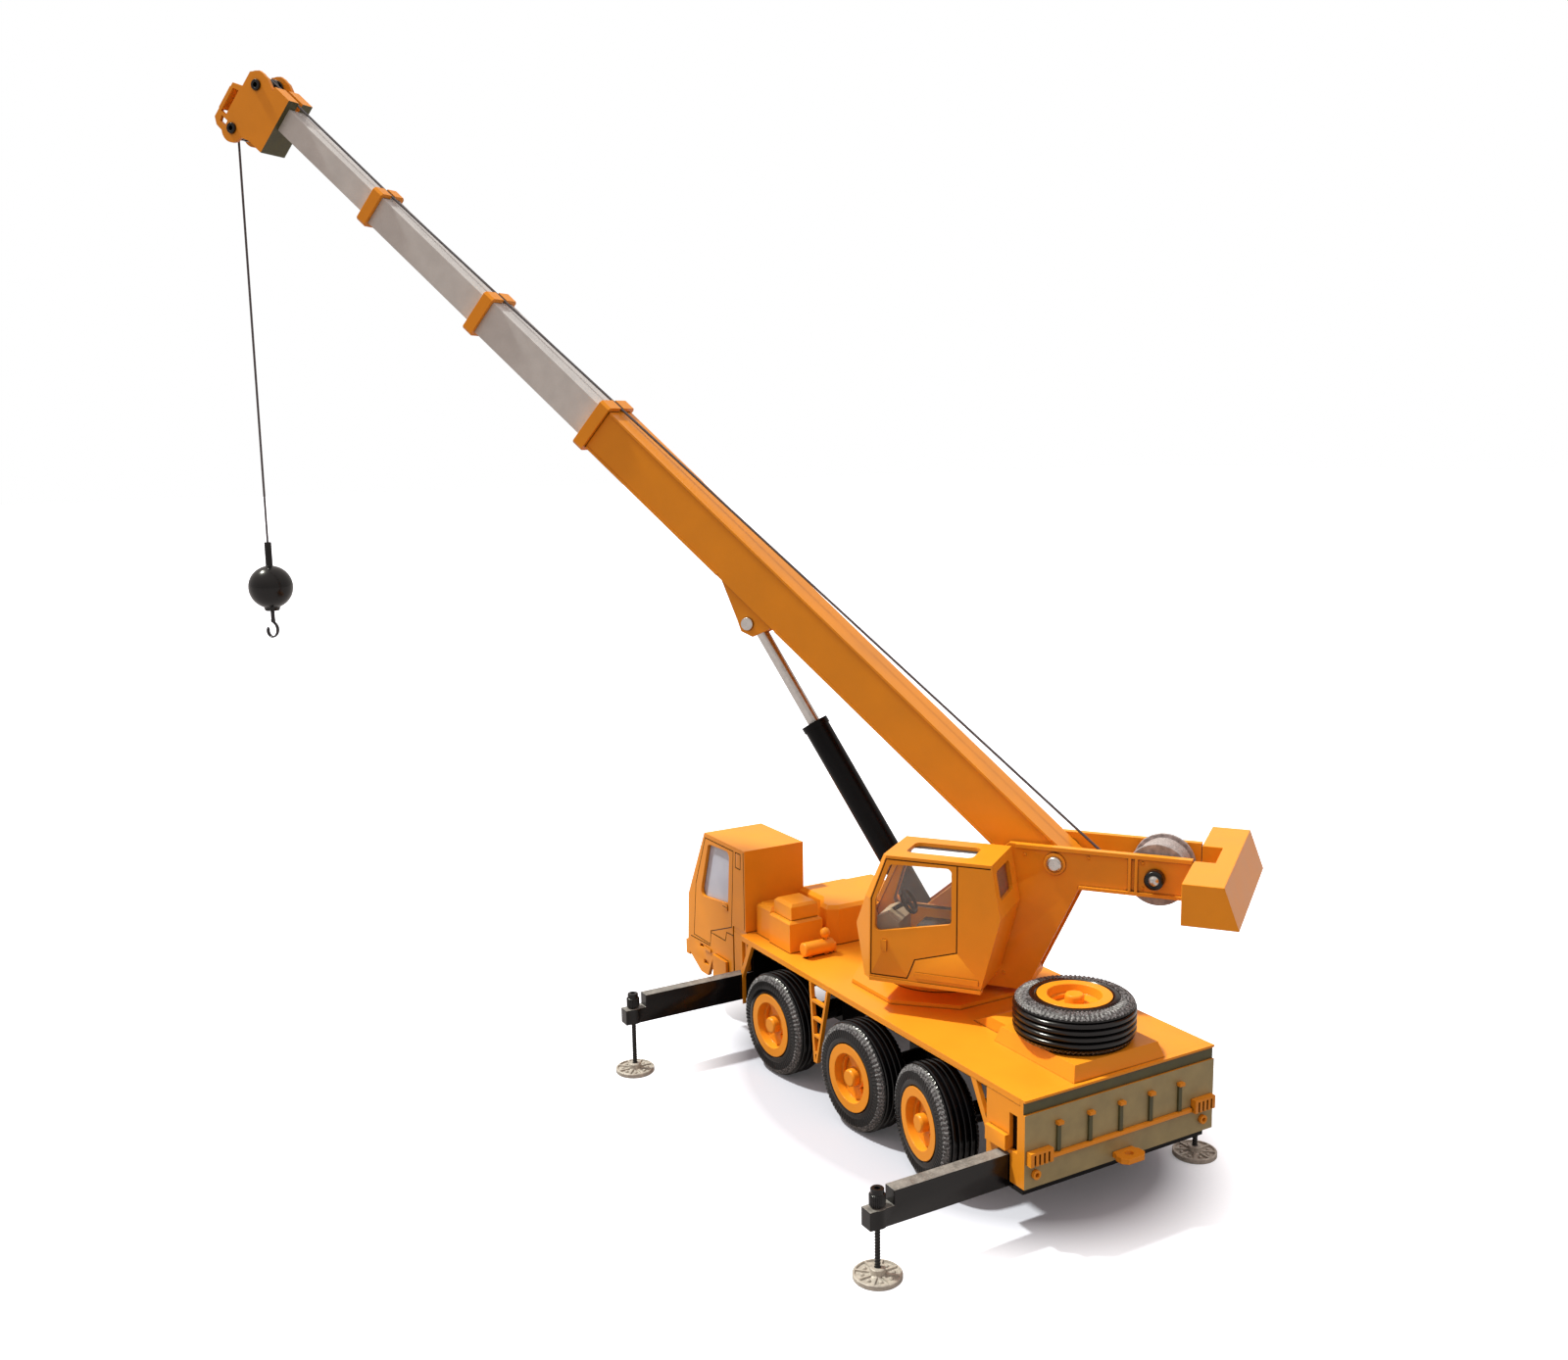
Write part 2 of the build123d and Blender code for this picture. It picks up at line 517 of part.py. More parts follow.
# ---------------------------------------------------------------- outriggers
def outriggers():
    """Four sliding beams, each with a jack screw and a foot pad."""
    for (end, hand), x in BEAM_X.items():
        low = BEAM_LOW[end]
        top = low + BEAM_H
        reach = REACH_OUT if hand == "left" else REACH_IN
        tip = reach + JACK_TO_END
        beam = block(x - BEAM_W / 2, x + BEAM_W / 2, tip - BEAM_L, tip, low, top)
        beam -= block(x - 4, x + 4, tip - BEAM_STEP_L, tip + 1, top - BEAM_STEP, top + 1)
        beam += rod_z(x, reach, 1.9, low, top - BEAM_STEP)
        beam -= rod_z(x, reach, SCREW_R + RUN, low - 1, top)
        screw = rod_z(x, reach, SCREW_R, 1.0, top - BEAM_STEP + 0.3)
        cap_low = top - BEAM_STEP + 0.3
        cap_top = cap_low + CAP_H
        screw += rod_z(x, reach, CAP_R, cap_low, cap_low + 2.3) + rod_z(x, reach, 1.3, cap_low + 2.2, cap_top)
        screw -= rod_z(x, reach, 0.55, cap_low + 2.4, cap_top + 1)
        pad = rod_z(x, reach, PAD_R, 0, PAD_H) + rod_z(x, reach, PAD_HUB_R, PAD_H - 0.2, PAD_HUB_TOP)
        pad -= rod_z(x, reach, SCREW_R + RUN, 0.95, PAD_HUB_TOP + 1)
        flip = Pos(0, 0, 0) if hand == "left" else Pos(2 * x, 0, 0) * Rot(0, 0, 180)
        save(f"outrigger_beam_{end}_{hand}", flip * beam)
        save(f"jack_screw_{end}_{hand}", flip * screw)
        save(f"foot_pad_{end}_{hand}", flip * pad)


# ================================================================ crane
def slew_ring():
    """Ring and king pin that the turntable turns on."""
    ring = rod_z(0, 0, RING_R, PLATFORM_TOP, RING_TOP) + rod_z(0, 0, KING_R, DECK_TOP - 4.4, TABLE_TOP + 0.4)
    return ring


def turntable_frame():
    """Base plate, two tall side plates with their arms, ribs, and the tie bars between them."""
    out = CHEEK_IN + CHEEK
    frame = rod_z(0, 0, 13.0, TABLE_LOW, TABLE_TOP) + block(-23.0, 9.2, -out, out, TABLE_LOW, TABLE_TOP)
    frame -= rod_z(0, 0, KING_R + RUN, TABLE_LOW - 1, TABLE_TOP + 1)
    plate = [(-22.6, TABLE_LOW), (9.2, TABLE_LOW), (9.2, 38.0), (5.0, 46.0), (-18.5, ARM_TOP)]
    plate += [(ARM_BACK, ARM_TOP), (ARM_BACK, ARM_LOW), (-34.0, ARM_LOW)]
    window = [(-18.0, 40.0), (-4.5, 40.0), (-8.0, 47.0), (-20.0, 56.5), (-25.5, 53.5)]
    for hand in (-1, 1):
        y0, y1 = sorted((hand * CHEEK_IN, hand * out))
        frame += side(plate, y0, y1)
        e0, e1 = sorted((hand * (out - 0.1), hand * (out + 0.55)))
        frame += block(ARM_BACK, -20.0, e0, e1, ARM_TOP - 0.9, ARM_TOP)
        frame += block(ARM_BACK, -34.0, e0, e1, ARM_LOW, ARM_LOW + 0.8)
        for x in (-46.6, -45.2):
            frame += block(x, x + 0.6, e0, e1, ARM_LOW, ARM_TOP)
        frame += rod_y(PIVOT[0], PIVOT[1], 2.4, e0, e1)
        stub0, stub1 = sorted((hand * (EYE_W / 2 + 0.3), hand * (CHEEK_IN + 0.2)))
        frame += rod_y(FOOT[0], FOOT[1], FOOT_PIN_R + 0.9, stub0, stub1)
    frame += rod_y(-19.5, 37.5, 1.3, -CHEEK_IN - 0.2, CHEEK_IN + 0.2)
    frame += rod_y(-37.5, 59.2, 1.0, -CHEEK_IN - 0.2, CHEEK_IN + 0.2)
    for x0, x1, z0, z1 in ((-12.5, 2.0, 38.4, 41.4), (-16.0, -11.0, 48.0, 54.0)):
        frame += block(x0, x1, out - 0.1, CAB_IN - 0.02, z0, z1)
    frame -= rod_y(PIVOT[0], PIVOT[1], PIN_R + RUN, -12, 12)
    frame -= rod_y(DRUM[0], DRUM[1], SHAFT_R + RUN, -12, 12)
    return frame


def counterweight():
    """Wide block behind the arms, its back sloping outwards and a notch between the arms."""
    shape = [(WEIGHT_FRONT, WEIGHT_TOP), (WEIGHT_BACK_TOP, WEIGHT_TOP), (WEIGHT_BACK_LOW, WEIGHT_LOW)]
    shape += [(WEIGHT_FRONT, WEIGHT_LOW)]
    weight = side(shape, -WEIGHT_HALF, WEIGHT_HALF)
    return weight - block(NOTCH_BACK, WEIGHT_FRONT + 1, -CHEEK_IN, CHEEK_IN, 50, 70)


CRANE_CAB = [(-19.3, CAB_ROOF), (4.9, CAB_ROOF), (12.8, 48.2), (9.8, CAB_FLOOR)]
CRANE_CAB += [(-17.0, CAB_FLOOR), (-21.3, 54.0)]
CRANE_CAB_INNER = [(-18.4, CAB_ROOF - 0.9), (4.2, CAB_ROOF - 0.9), (11.8, 48.2), (9.0, CAB_FLOOR + 0.9)]
CRANE_CAB_INNER += [(-16.2, CAB_FLOOR + 0.9), (-20.4, 54.0)]
CORNER = [(4.3, 65.0), (7.8, 55.8), (8.1, 38.0)]     # front edge of the cab's left side
REAR_WINDOW = (17.3, 60.6)                            # middle of the rear window, in Y and Z
SIDE_WINDOW = [(3.2, 63.9), (-10.6, 64.2), (-10.6, 51.9), (6.8, 48.4), (6.6, 55.6)]


def bevelled(shape, inset):
    """Cuts the cab's front left corner at 45 degrees along the front edge of its side."""
    for (xa, za), (xb, zb) in zip(CORNER, CORNER[1:]):
        normal = Vector(1, 1, (xb - xa) / (za - zb)).normalized()
        face = Plane(origin=Vector(xa, CAB_OUT, za) - normal * inset, z_dir=normal)
        shape = split(shape, bisect_by=face, keep=Keep.BOTTOM)
    return shape


def rear_slope(z, depth):
    """X of the cab's rear face at a height, moved forwards by a depth."""
    (xb, zb), (xa, za) = CRANE_CAB[5], CRANE_CAB[0]
    return xb + (z - zb) / (za - zb) * (xa - xb) + depth


def rear_tilt():
    """How far the cab's rear face leans forwards, in degrees."""
    return degrees(atan2(CRANE_CAB[0][0] - CRANE_CAB[5][0], CRANE_CAB[0][1] - CRANE_CAB[5][1]))


def crane_cab():
    """Thin shell of the crane driver's cab, left of the boom, with its window openings."""
    cab = bevelled(side(CRANE_CAB, CAB_IN, CAB_OUT), 0)
    cab -= bevelled(side(CRANE_CAB_INNER, CAB_IN + CAB_WALL, CAB_OUT - CAB_WALL), CAB_WALL)
    cab -= rounded_quad(SIDE_WINDOW, 1.1, CAB_OUT - 2, CAB_OUT + 1)
    cab -= rounded_quad([(3.4, 63.4), (-15.5, 63.4), (-15.5, 50.5), (7.5, 50.5)], 1.2, CAB_IN - 1, CAB_IN + 2)
    lean = degrees(atan2(CRANE_CAB[2][0] - CRANE_CAB[1][0], CRANE_CAB[1][1] - CRANE_CAB[2][1]))
    cab -= Pos(8.9, 14.6, 57.0) * Rot(0, -lean, 0) * Box(5, 9.6, 14.6)
    back = Pos(rear_slope(REAR_WINDOW[1], 0), REAR_WINDOW[0], REAR_WINDOW[1]) * Rot(0, rear_tilt(), 0)
    cab -= back * Rot(0, 90, 0) * extrude(RectangleRounded(6.5, 10.2, 0.9), 4, both=True)
    cab -= Pos(-6.4, 16.8, CAB_ROOF) * extrude(RectangleRounded(15.0, 8.2, 1.5), 3, both=True)
    cab += block(-17.2, 8.0, CAB_OUT - 1.6, CAB_OUT + 0.3, CAB_FLOOR - 0.3, CAB_FLOOR + 0.5)
    cab += block(-16.6, -2.4, CAB_OUT - 0.2, CAB_OUT + 0.25, CAB_FLOOR + 1.4, CAB_FLOOR + 2.7)
    cab += block(4.0, 5.1, CAB_OUT - 0.2, CAB_OUT + 0.4, 44.2, 46.8)
    lines = groove([(-19.0, 65.0), (4.0, 65.0), (7.45, 55.8), (7.7, 38.6), (-0.6, 38.6)], CAB_OUT)
    lines += groove([(-11.9, 65.0), (-11.8, 45.7), (-2.4, 43.0), (-0.9, 39.2), (-0.6, 38.6)], CAB_OUT)
    for cut in lines:
        cab -= cut
    return cab


def crane_cab_interior():
    """Seat, console, wheel and levers of the crane driver."""
    floor = CAB_FLOOR + CAB_WALL + 0.02
    seat = block(-10.5, -1.5, 12.6, 21.4, floor, 45.5) + block(-11.0, -0.8, 12.2, 21.8, 45.3, 48.6)
    seat += side([(-12.4, 47.0), (-9.6, 47.0), (-11.6, 60.6), (-14.2, 60.6)], 13.0, 21.0)
    console = side([(2.6, floor), (2.6, 49.5), (5.4, 51.5), (7.6, 50.5), (7.9, floor)], 12.5, 21.0)
    column = Pos(1.6, 17.0, 53.4) * Rot(0, -58, 0)
    wheel = column * (Torus(2.7, 0.42) + Box(5.2, 0.7, 0.6)) + column * Pos(0, 0, -2.4) * Cylinder(0.5, 5.4)
    return seat + console + wheel


def crane_cab_glazing():
    """Panes of the crane cab: side, boom side, rear, roof and windscreen."""
    wall = CAB_WALL + 0.05
    outer = [(3.9, 64.5), (-11.3, 64.8), (-11.3, 51.2), (7.6, 47.4), (7.4, 56.0)]
    outer = Pos(0, CAB_OUT - wall - 0.35, 0) * rounded_quad(outer, 1.1, 0, 0.35)
    inner = rounded_quad([(3.8, 64.0), (-16.1, 64.0), (-16.1, 49.9), (8.0, 49.9)], 1.2, 0, 0.35)
    panes = [bevelled(outer, CAB_WALL + 0.1), Pos(0, CAB_IN + wall, 0) * inner]
    y, z = REAR_WINDOW
    place = Pos(rear_slope(z, wall + 0.35), y, z) * Rot(0, rear_tilt(), 0)
    panes.append(place * Box(0.35, 11.2, 7.5))
    panes.append(Pos(-6.4, 16.8, CAB_ROOF - wall - 0.2) * Box(16.4, 9.4, 0.35))
    return Compound(children=[p.solids()[0] for p in panes])


def boom_pivot_pin():
    """Pin through the side plates and the boom, with a domed head at each end."""
    end = CHEEK_IN + CHEEK + 0.55
    pin = rod_y(PIVOT[0], PIVOT[1], PIN_R, -end, end)
    for hand in (-1, 1):
        y0, y1 = sorted((hand * end, hand * (end + 0.8)))
        head = rod_y(PIVOT[0], PIVOT[1], PIN_R + 0.35, y0, y1)
        pin += fillet(head.faces().sort_by(Axis.Y)[0 if hand < 0 else -1].edges(), 0.7)
    return pin


# ---------------------------------------------------------------- winch
def winch():
    """Drum with its shaft, the rope wound on it, and a round knob on each end of the shaft."""
    x, z = DRUM
    drum = rod_y(x, z, SHAFT_R, -SHAFT_END, SHAFT_END) + rod_y(x, z, CORE_R, -DRUM_HALF, DRUM_HALF)
    for y in (-DRUM_HALF, DRUM_HALF - 0.9):
        drum += rod_y(x, z, FLANGE_R, y, y + 0.9)
    save("winch_drum", on_crane(drum))
    wound = rod_y(x, z, WOUND_R, 0.92 - DRUM_HALF, DRUM_HALF - 0.92) - rod_y(x, z, CORE_R + 0.02, -9, 9)
    save("rope_winding", on_crane(wound))
    knobs = []
    for hand in (-1, 1):
        y0, y1 = sorted((hand * (CHEEK_IN + CHEEK + 0.3), hand * KNOB_END))
        knob = rod_y(x, z, KNOB_R, y0, y1)
        knob = fillet(knob.faces().sort_by(Axis.Y)[0 if hand < 0 else -1].edges(), 0.5)
        inner, outer = sorted((0, hand * SHAFT_END))
        knobs += (knob - rod_y(x, z, SHAFT_R, inner, outer)).solids()
    save("winch_knobs", on_crane(Compound(children=knobs)))


# ---------------------------------------------------------------- boom
def tube(x0, x1, width, height, wall):
    """A rectangular tube along X about the boom's middle line."""
    shell = block(x0, x1, -width / 2, width / 2, AXIS - height / 2, AXIS + height / 2)
    w, h = width / 2 - wall, height / 2 - wall
    return shell - block(x0 - 1, x1 + 1, -w, w, AXIS - h, AXIS + h)


def section_size(n):
    """Width and height of boom section n, where 0 is the base."""
    width, height, wall = BASE_W, BASE_H, BASE_WALL
    for _ in range(n):
        width, height = width - 2 * wall - 2 * SLIDE + 0.1, height - 2 * wall - 2 * SLIDE + 0.1
        wall = THIN_WALL
    return width, height, wall


HEAD_W = section_size(3)[0] / 2 + HEAD_SIDE           # half width of the head
SHEAVE_HALF = HEAD_W - HEAD_PLATE - 0.5


def collar(n, end):
    """Frame around the outer end of boom section n, with the hole that guides the rope."""
    width, height, wall = section_size(n)
    inner_w, inner_h = width / 2 + 0.02, height / 2 + 0.02
    next_w, next_h, _ = section_size(n + 1)
    out_w, out_h = inner_w + COLLAR_T, inner_h + COLLAR_T
    mouth_w, mouth_h = next_w / 2 + MOUTH, next_h / 2 + MOUTH
    big = block(end - COLLAR_L, end + 0.6, -out_w, out_w, AXIS - out_h, AXIS + out_h)
    big = chamfer(big.edges().filter_by(Axis.X), 0.6)
    big -= block(end - COLLAR_L - 1, end, -inner_w, inner_w, AXIS - inner_h, AXIS + inner_h)
    big -= block(end - 1, end + 1, -mouth_w, mouth_w, AXIS - mouth_h, AXIS + mouth_h)
    h = GUIDE_H[n]
    return big - block(end - COLLAR_L - 1, end + 2, -0.6, 0.6, h - 0.75, h + 0.75)


def section_span(n):
    """Back and outer end of boom section n."""
    end = BASE_END + SHOWN * n
    return end - SECTION_L, end


def boom_base():
    """The outer boom section with its pivot bushing and the lug for the luffing cylinder."""
    width, height, wall = section_size(0)
    low, top = AXIS - height / 2, AXIS + height / 2
    base = tube(BASE_BACK, BASE_END, width, height, wall)
    base += block(BASE_BACK, BASE_BACK + 1.0, -width / 2, width / 2, low, top)
    base += rod_y(0, 0, PIN_R + 1.1, -CHEEK_IN + 0.25, CHEEK_IN - 0.25)
    base -= side([(BASE_BACK - 1, low - 1), (BASE_BACK + 5.5, low - 1), (BASE_BACK - 1, low + 6.5)], -9, 9)
    slant = [(BASE_BACK + 4.1, low), (BASE_BACK + 5.3, low)]
    slant += [(BASE_BACK + 1.2, low + 4.9), (BASE_BACK, low + 4.9)]
    base += side(slant, -width / 2, width / 2)
    base -= rod_y(0, 0, PIN_R + RUN, -12, 12)
    lug = [(83.0, low + 0.5), (85.4, -13.0), (88.4, -14.0), (91.0, -12.6), (101.0, low + 0.5)]
    for hand in (-1, 1):
        y0, y1 = sorted((hand * (LUG_HALF - LUG_PLATE), hand * LUG_HALF))
        base += side(lug, y0, y1)
    base -= rod_y(LUG[0], LUG[1], 0.9 + RUN, -9, 9)
    for hand in (-1, 1):
        y0, y1 = sorted((hand * (width / 2 - 0.1), hand * (width / 2 + 0.25)))
        base += block(4.0, BASE_END - COLLAR_L - 0.4, y0, y1, top - 0.6, top)
        for x0, x1 in ((4.0, 82.0), (101.5, BASE_END - COLLAR_L - 0.4)):
            base += block(x0, x1, y0, y1, low, low + 0.6)
    return base


def boom_tip():
    """The innermost section, whose outer end sits in the boom head."""
    width, height, wall = section_size(3)
    _, end = section_span(2)
    return tube(end + TIP_SHOWN - 112.0, HEAD_BACK + 4.6, width, height, wall)


def boom_head():
    """Head block with two plates, a front bar and the bores of both sheave pins."""
    width, height, _ = section_size(3)
    rear = block(HEAD_BACK, HEAD_BACK + 5.6, -HEAD_W, HEAD_W, -12.9, 2.7)
    hold_w, hold_h = width / 2 + 0.02, height / 2 + 0.02
    rear -= block(HEAD_BACK - 1, HEAD_BACK + 4.6, -hold_w, hold_w, AXIS - hold_h, AXIS + hold_h)
    rear -= block(HEAD_BACK - 1, HEAD_BACK + 6, -0.7, 0.7, 0.45, 3)
    plate = [(5.2, 1.4), (8.8, 3.0), (12.1, 3.0), (14.4, 1.0), (14.4, -3.2), (17.5, -4.4)]
    plate += [(17.5, -14.6), (15.8, -15.9), (9.6, -16.2), (7.1, -13.6), (5.2, -13.0)]
    slot = [(14.7, -4.9), (16.6, -5.4), (16.6, -12.2), (14.7, -12.2)]
    notch = [(13.4, -13.0), (15.8, -13.0), (15.4, -14.4), (13.4, -14.4)]
    head = rear
    for hand in (-1, 1):
        y0, y1 = sorted((hand * (HEAD_W - HEAD_PLATE), hand * HEAD_W))
        cheek = Pos(HEAD_BACK, 0, 0) * side(plate, y0, y1)
        for x, z in (SHEAVE_UP, SHEAVE_DOWN):
            cheek += rod_y(x, z, HEAD_LOBE_R, y0, y1)
        for hole in (slot, notch):
            cheek -= Pos(HEAD_BACK, 0, 0) * side(hole, y0 - 1, y1 + 1)
        head += cheek
    head += block(HEAD_BACK + 16.9, HEAD_BACK + 17.7, -HEAD_W, HEAD_W, -12.0, -5.6)
    for x, z in (SHEAVE_UP, SHEAVE_DOWN):
        head -= rod_y(x, z, HEAD_PIN_R, -9, 9)
    return head


def head_pins():
    """Two hollow pins that carry the sheaves."""
    pins = []
    for x, z in (SHEAVE_UP, SHEAVE_DOWN):
        pin = rod_y(x, z, HEAD_PIN_R, -HEAD_W - 0.1, HEAD_W + 0.1)
        for hand in (-1, 1):
            y0, y1 = sorted((hand * HEAD_W, hand * (HEAD_W + 0.6)))
            pin += rod_y(x, z, 1.35, y0, y1)
        pin -= rod_y(x, z, 0.6, -9, -HEAD_W + 1) + rod_y(x, z, 0.6, HEAD_W - 1, 9)
        pins += pin.solids()
    return Compound(children=pins)


def sheave(centre, groove):
    """A sheave with three grooves."""
    x, z = centre
    wheel = rod_y(x, z, SHEAVE_R, -SHEAVE_HALF, SHEAVE_HALF)
    for y in (-1.85, 0, 1.85):
        wheel -= rod_y(x, z, 9, y - 0.45, y + 0.45) - rod_y(x, z, groove, y - 0.45, y + 0.45)
    return wheel - rod_y(x, z, HEAD_PIN_R + RUN, -9, 9)


def boom():
    """All boom sections, collars, head and sheaves."""
    save("boom_base", on_boom(boom_base()))
    for n in (1, 2):
        back, end = section_span(n)
        width, height, wall = section_size(n)
        save(f"boom_section_{n + 1}", on_boom(tube(back, end, width, height, wall)))
    for n in range(3):
        save(f"boom_collar_{n + 1}", on_boom(collar(n, section_span(n)[1])))
    save("boom_tip", on_boom(boom_tip()))
    save("boom_head", on_boom(boom_head()))
    save("head_pins", on_boom(head_pins()))
    save("sheave_upper", on_boom(sheave(SHEAVE_UP, GROOVE_R)))
    save("sheave_lower", on_boom(sheave(SHEAVE_DOWN, GROOVE_R)))


# ---------------------------------------------------------------- luffing cylinder
def cylinder():
    """Barrel and rod, drawn along +X from the foot eye and turned towards the boom's lug."""
    top_x, top_z = boom_to_crane(*LUG)
    length = hypot(top_x - FOOT[0], top_z - FOOT[1])
    lean = degrees(atan2(top_z - FOOT[1], top_x - FOOT[0]))
    place = Pos(FOOT[0], 0, FOOT[1]) * Rot(0, -lean, 0)
    bore = ROD_R + RUN
    barrel = rod_x(0, 0, BARREL_R, 6.0, BARREL_L) - rod_x(0, 0, ROD_R + 0.5, 5.3, BARREL_L - 2.0)
    barrel += rod_x(0, 0, ROD_R + 0.6, 3.0, 6.2)
    barrel -= rod_x(0, 0, ROD_R + 0.5, 5.3, 8.0)
    barrel -= rod_x(0, 0, bore, BARREL_L - 2.5, BARREL_L + 1)
    end_ring = rod_x(0, 0, BARREL_R + 0.25, BARREL_L - 1.6, BARREL_L)
    barrel += end_ring - rod_x(0, 0, bore, BARREL_L - 2.5, BARREL_L + 1)
    barrel += block(0, 4.6, -EYE_W / 2, EYE_W / 2, -FOOT_EYE_R, FOOT_EYE_R)
    barrel += rod_y(0, 0, FOOT_EYE_R, -EYE_W / 2, EYE_W / 2)
    barrel -= rod_y(0, 0, FOOT_PIN_R, -9, 9)
    save("cylinder_barrel", on_crane(place * barrel))
    rod = rod_x(0, 0, ROD_R, 31.0, length - 1.0) + rod_y(length, 0, 1.9, -2.4, 2.4)
    rod += rod_y(length, 0, 0.9, -LUG_HALF - 0.3, LUG_HALF + 0.3)
    for y0, y1 in ((-LUG_HALF - 0.8, -LUG_HALF - 0.25), (LUG_HALF + 0.25, LUG_HALF + 0.8)):
        rod += rod_y(length, 0, 1.5, y0, y1)
    save("cylinder_rod", on_crane(place * rod))


# ---------------------------------------------------------------- hoist rope
def hoist():
    """The rope in its three stretches, the ball weight and the hook."""
    c, s = cos(radians(ELEVATION)), sin(radians(ELEVATION))
    guide_x, guide_z = boom_to_crane(BASE_END, GUIDE_H[0])
    run = hypot(guide_x - DRUM[0], guide_z - DRUM[1])
    rise = degrees(atan2(guide_z - DRUM[1], guide_x - DRUM[0]))
    wound = WOUND_R + ROPE_R + 0.05
    tilt = degrees(asin(wound / run))
    at_drum = Pos(DRUM[0], 0, DRUM[1]) * Rot(0, -tilt - rise, 0)
    lead = at_drum * rod_x(0, -wound, ROPE_R, 0, run + LEAD_OVERLAP)
    save("hoist_rope_lead", on_crane(lead))
    clear = GROOVE_R + ROPE_R + 0.05
    drop_along = SHEAVE_DOWN[0] + clear * c
    drop_up = SHEAVE_DOWN[1] - clear * s
    bend = clear / cos(radians(20)) + 0.03
    points = [(BASE_END + LEAD_OVERLAP + 0.8, 0, GUIDE_H[0] - 0.1)]
    points += [(BASE_END + SHOWN, 0, GUIDE_H[1]), (BASE_END + 2 * SHOWN, 0, GUIDE_H[2])]
    for angle in (100, 60, 20):
        a = radians(angle)
        points.append((SHEAVE_UP[0] + bend * cos(a), 0, SHEAVE_UP[1] + bend * sin(a)))
    points.append((SHEAVE_DOWN[0] + bend, 0, SHEAVE_DOWN[1] + 0.3))
    points.append((drop_along + 0.36 * s, 0, drop_up + 0.36 * c))
    path = Polyline(*points)
    start = Plane(origin=points[0], z_dir=path % 0)
    save("hoist_rope_run", on_boom(sweep(start * Circle(ROPE_R), path=path, transition=Transition.ROUND)))
    x, z = boom_to_crane(drop_along, drop_up)
    save("hoist_rope_drop", on_crane(rod_z(x, 0, ROPE_R, z - DROP, z)))
    socket_low = z - DROP - SOCKET_L
    ball_z = socket_low - BALL_R + 0.6
    block_shape = rod_z(x, 0, SOCKET_R, socket_low, z - DROP) + Pos(x, 0, ball_z) * Sphere(BALL_R)
    block_shape += Pos(x, 0, ball_z - BALL_R + 0.6) * Cone(1.9, 2.6, 2.4)
    eye_z = ball_z - BALL_R - 0.6
    block_shape -= rod_z(x, 0, 0.55 + RUN, eye_z - 1, eye_z + 1.6)
    save("hook_ball", on_crane(block_shape))
    hook = Pos(0, 0, -0.7) * Cylinder(0.55, 3.8)
    hook += sweep(Plane(origin=(0, 0, -2.4), z_dir=(0, 0, -1)) * Circle(0.62), path=hook_line())
    save("hook", on_crane(Pos(x, 0, eye_z) * hook))


def hook_line():
    """Centre line of the hook below its shank."""
    neck = Line((0, 0, -2.4), (0, 0, -3.2))
    bowl = ThreePointArc((0, 0, -3.2), (-1.35, 0, -5.6), (0.3, 0, -7.3))
    lip = ThreePointArc((0.3, 0, -7.3), (1.7, 0, -6.6), (1.9, 0, -5.2))
    return neck + bowl + lip


# ================================================================ write everything
save("carrier_deck", Compound(children=[carrier_deck().solids()[0], front_deck().solids()[0]] + deck_sides()))
save("underframe", underframe())
save("rear_panel", rear_panel())
save("tow_hitch", tow_hitch_at_panel())
save("engine_cover", engine_cover())
save("equipment_boxes", equipment_boxes())
save("drive_cab", drive_cab())
save("drive_cab_interior", drive_cab_interior())
save("drive_cab_glazing", drive_cab_glazing())
running_gear()
spare_wheel()
outriggers()
save("slew_ring", slew_ring())
save("turntable_frame", on_crane(turntable_frame()))
save("counterweight", on_crane(counterweight()))
save("crane_cab", on_crane(crane_cab()))
save("crane_cab_interior", on_crane(crane_cab_interior()))
save("crane_cab_glazing", on_crane(crane_cab_glazing()))
save("boom_pivot_pin", on_crane(boom_pivot_pin()))
winch()
boom()
cylinder()
hoist()
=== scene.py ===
"""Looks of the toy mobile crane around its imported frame.

Blender's lengths are in metres. Sizes below are in millimetres, and MM turns them into metres.
"""

import json
from math import cos, pi, radians, sin

import bmesh
import bpy
from mathutils import Matrix, Vector


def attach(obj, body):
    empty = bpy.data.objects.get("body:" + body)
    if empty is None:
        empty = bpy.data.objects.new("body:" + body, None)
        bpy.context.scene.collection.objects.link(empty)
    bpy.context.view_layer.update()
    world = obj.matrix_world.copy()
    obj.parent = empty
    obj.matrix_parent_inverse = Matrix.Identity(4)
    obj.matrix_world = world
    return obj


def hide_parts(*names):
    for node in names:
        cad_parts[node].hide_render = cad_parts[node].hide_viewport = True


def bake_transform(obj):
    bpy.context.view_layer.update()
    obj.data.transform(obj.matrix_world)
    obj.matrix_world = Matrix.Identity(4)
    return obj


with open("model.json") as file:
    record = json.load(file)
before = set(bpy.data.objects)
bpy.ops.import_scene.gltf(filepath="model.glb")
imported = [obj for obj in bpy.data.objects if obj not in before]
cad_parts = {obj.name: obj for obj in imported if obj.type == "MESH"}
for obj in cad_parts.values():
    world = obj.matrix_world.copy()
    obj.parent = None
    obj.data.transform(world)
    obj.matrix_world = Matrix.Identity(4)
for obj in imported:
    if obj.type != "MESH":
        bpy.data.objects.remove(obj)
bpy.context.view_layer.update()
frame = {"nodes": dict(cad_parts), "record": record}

MM = 0.001
SLEW = radians(36.5)
ELEVATION = radians(41.3)
PIVOT = Vector((-28.7, 0, 62.4))
BODIES = frame["record"]["behaviour"]["bodies"]
BODY_OF = {node: body for body, names in BODIES.items() for node in names}
SLOT_OF = {part["node"]: part["material_slot"] for part in frame["record"]["subparts"]}

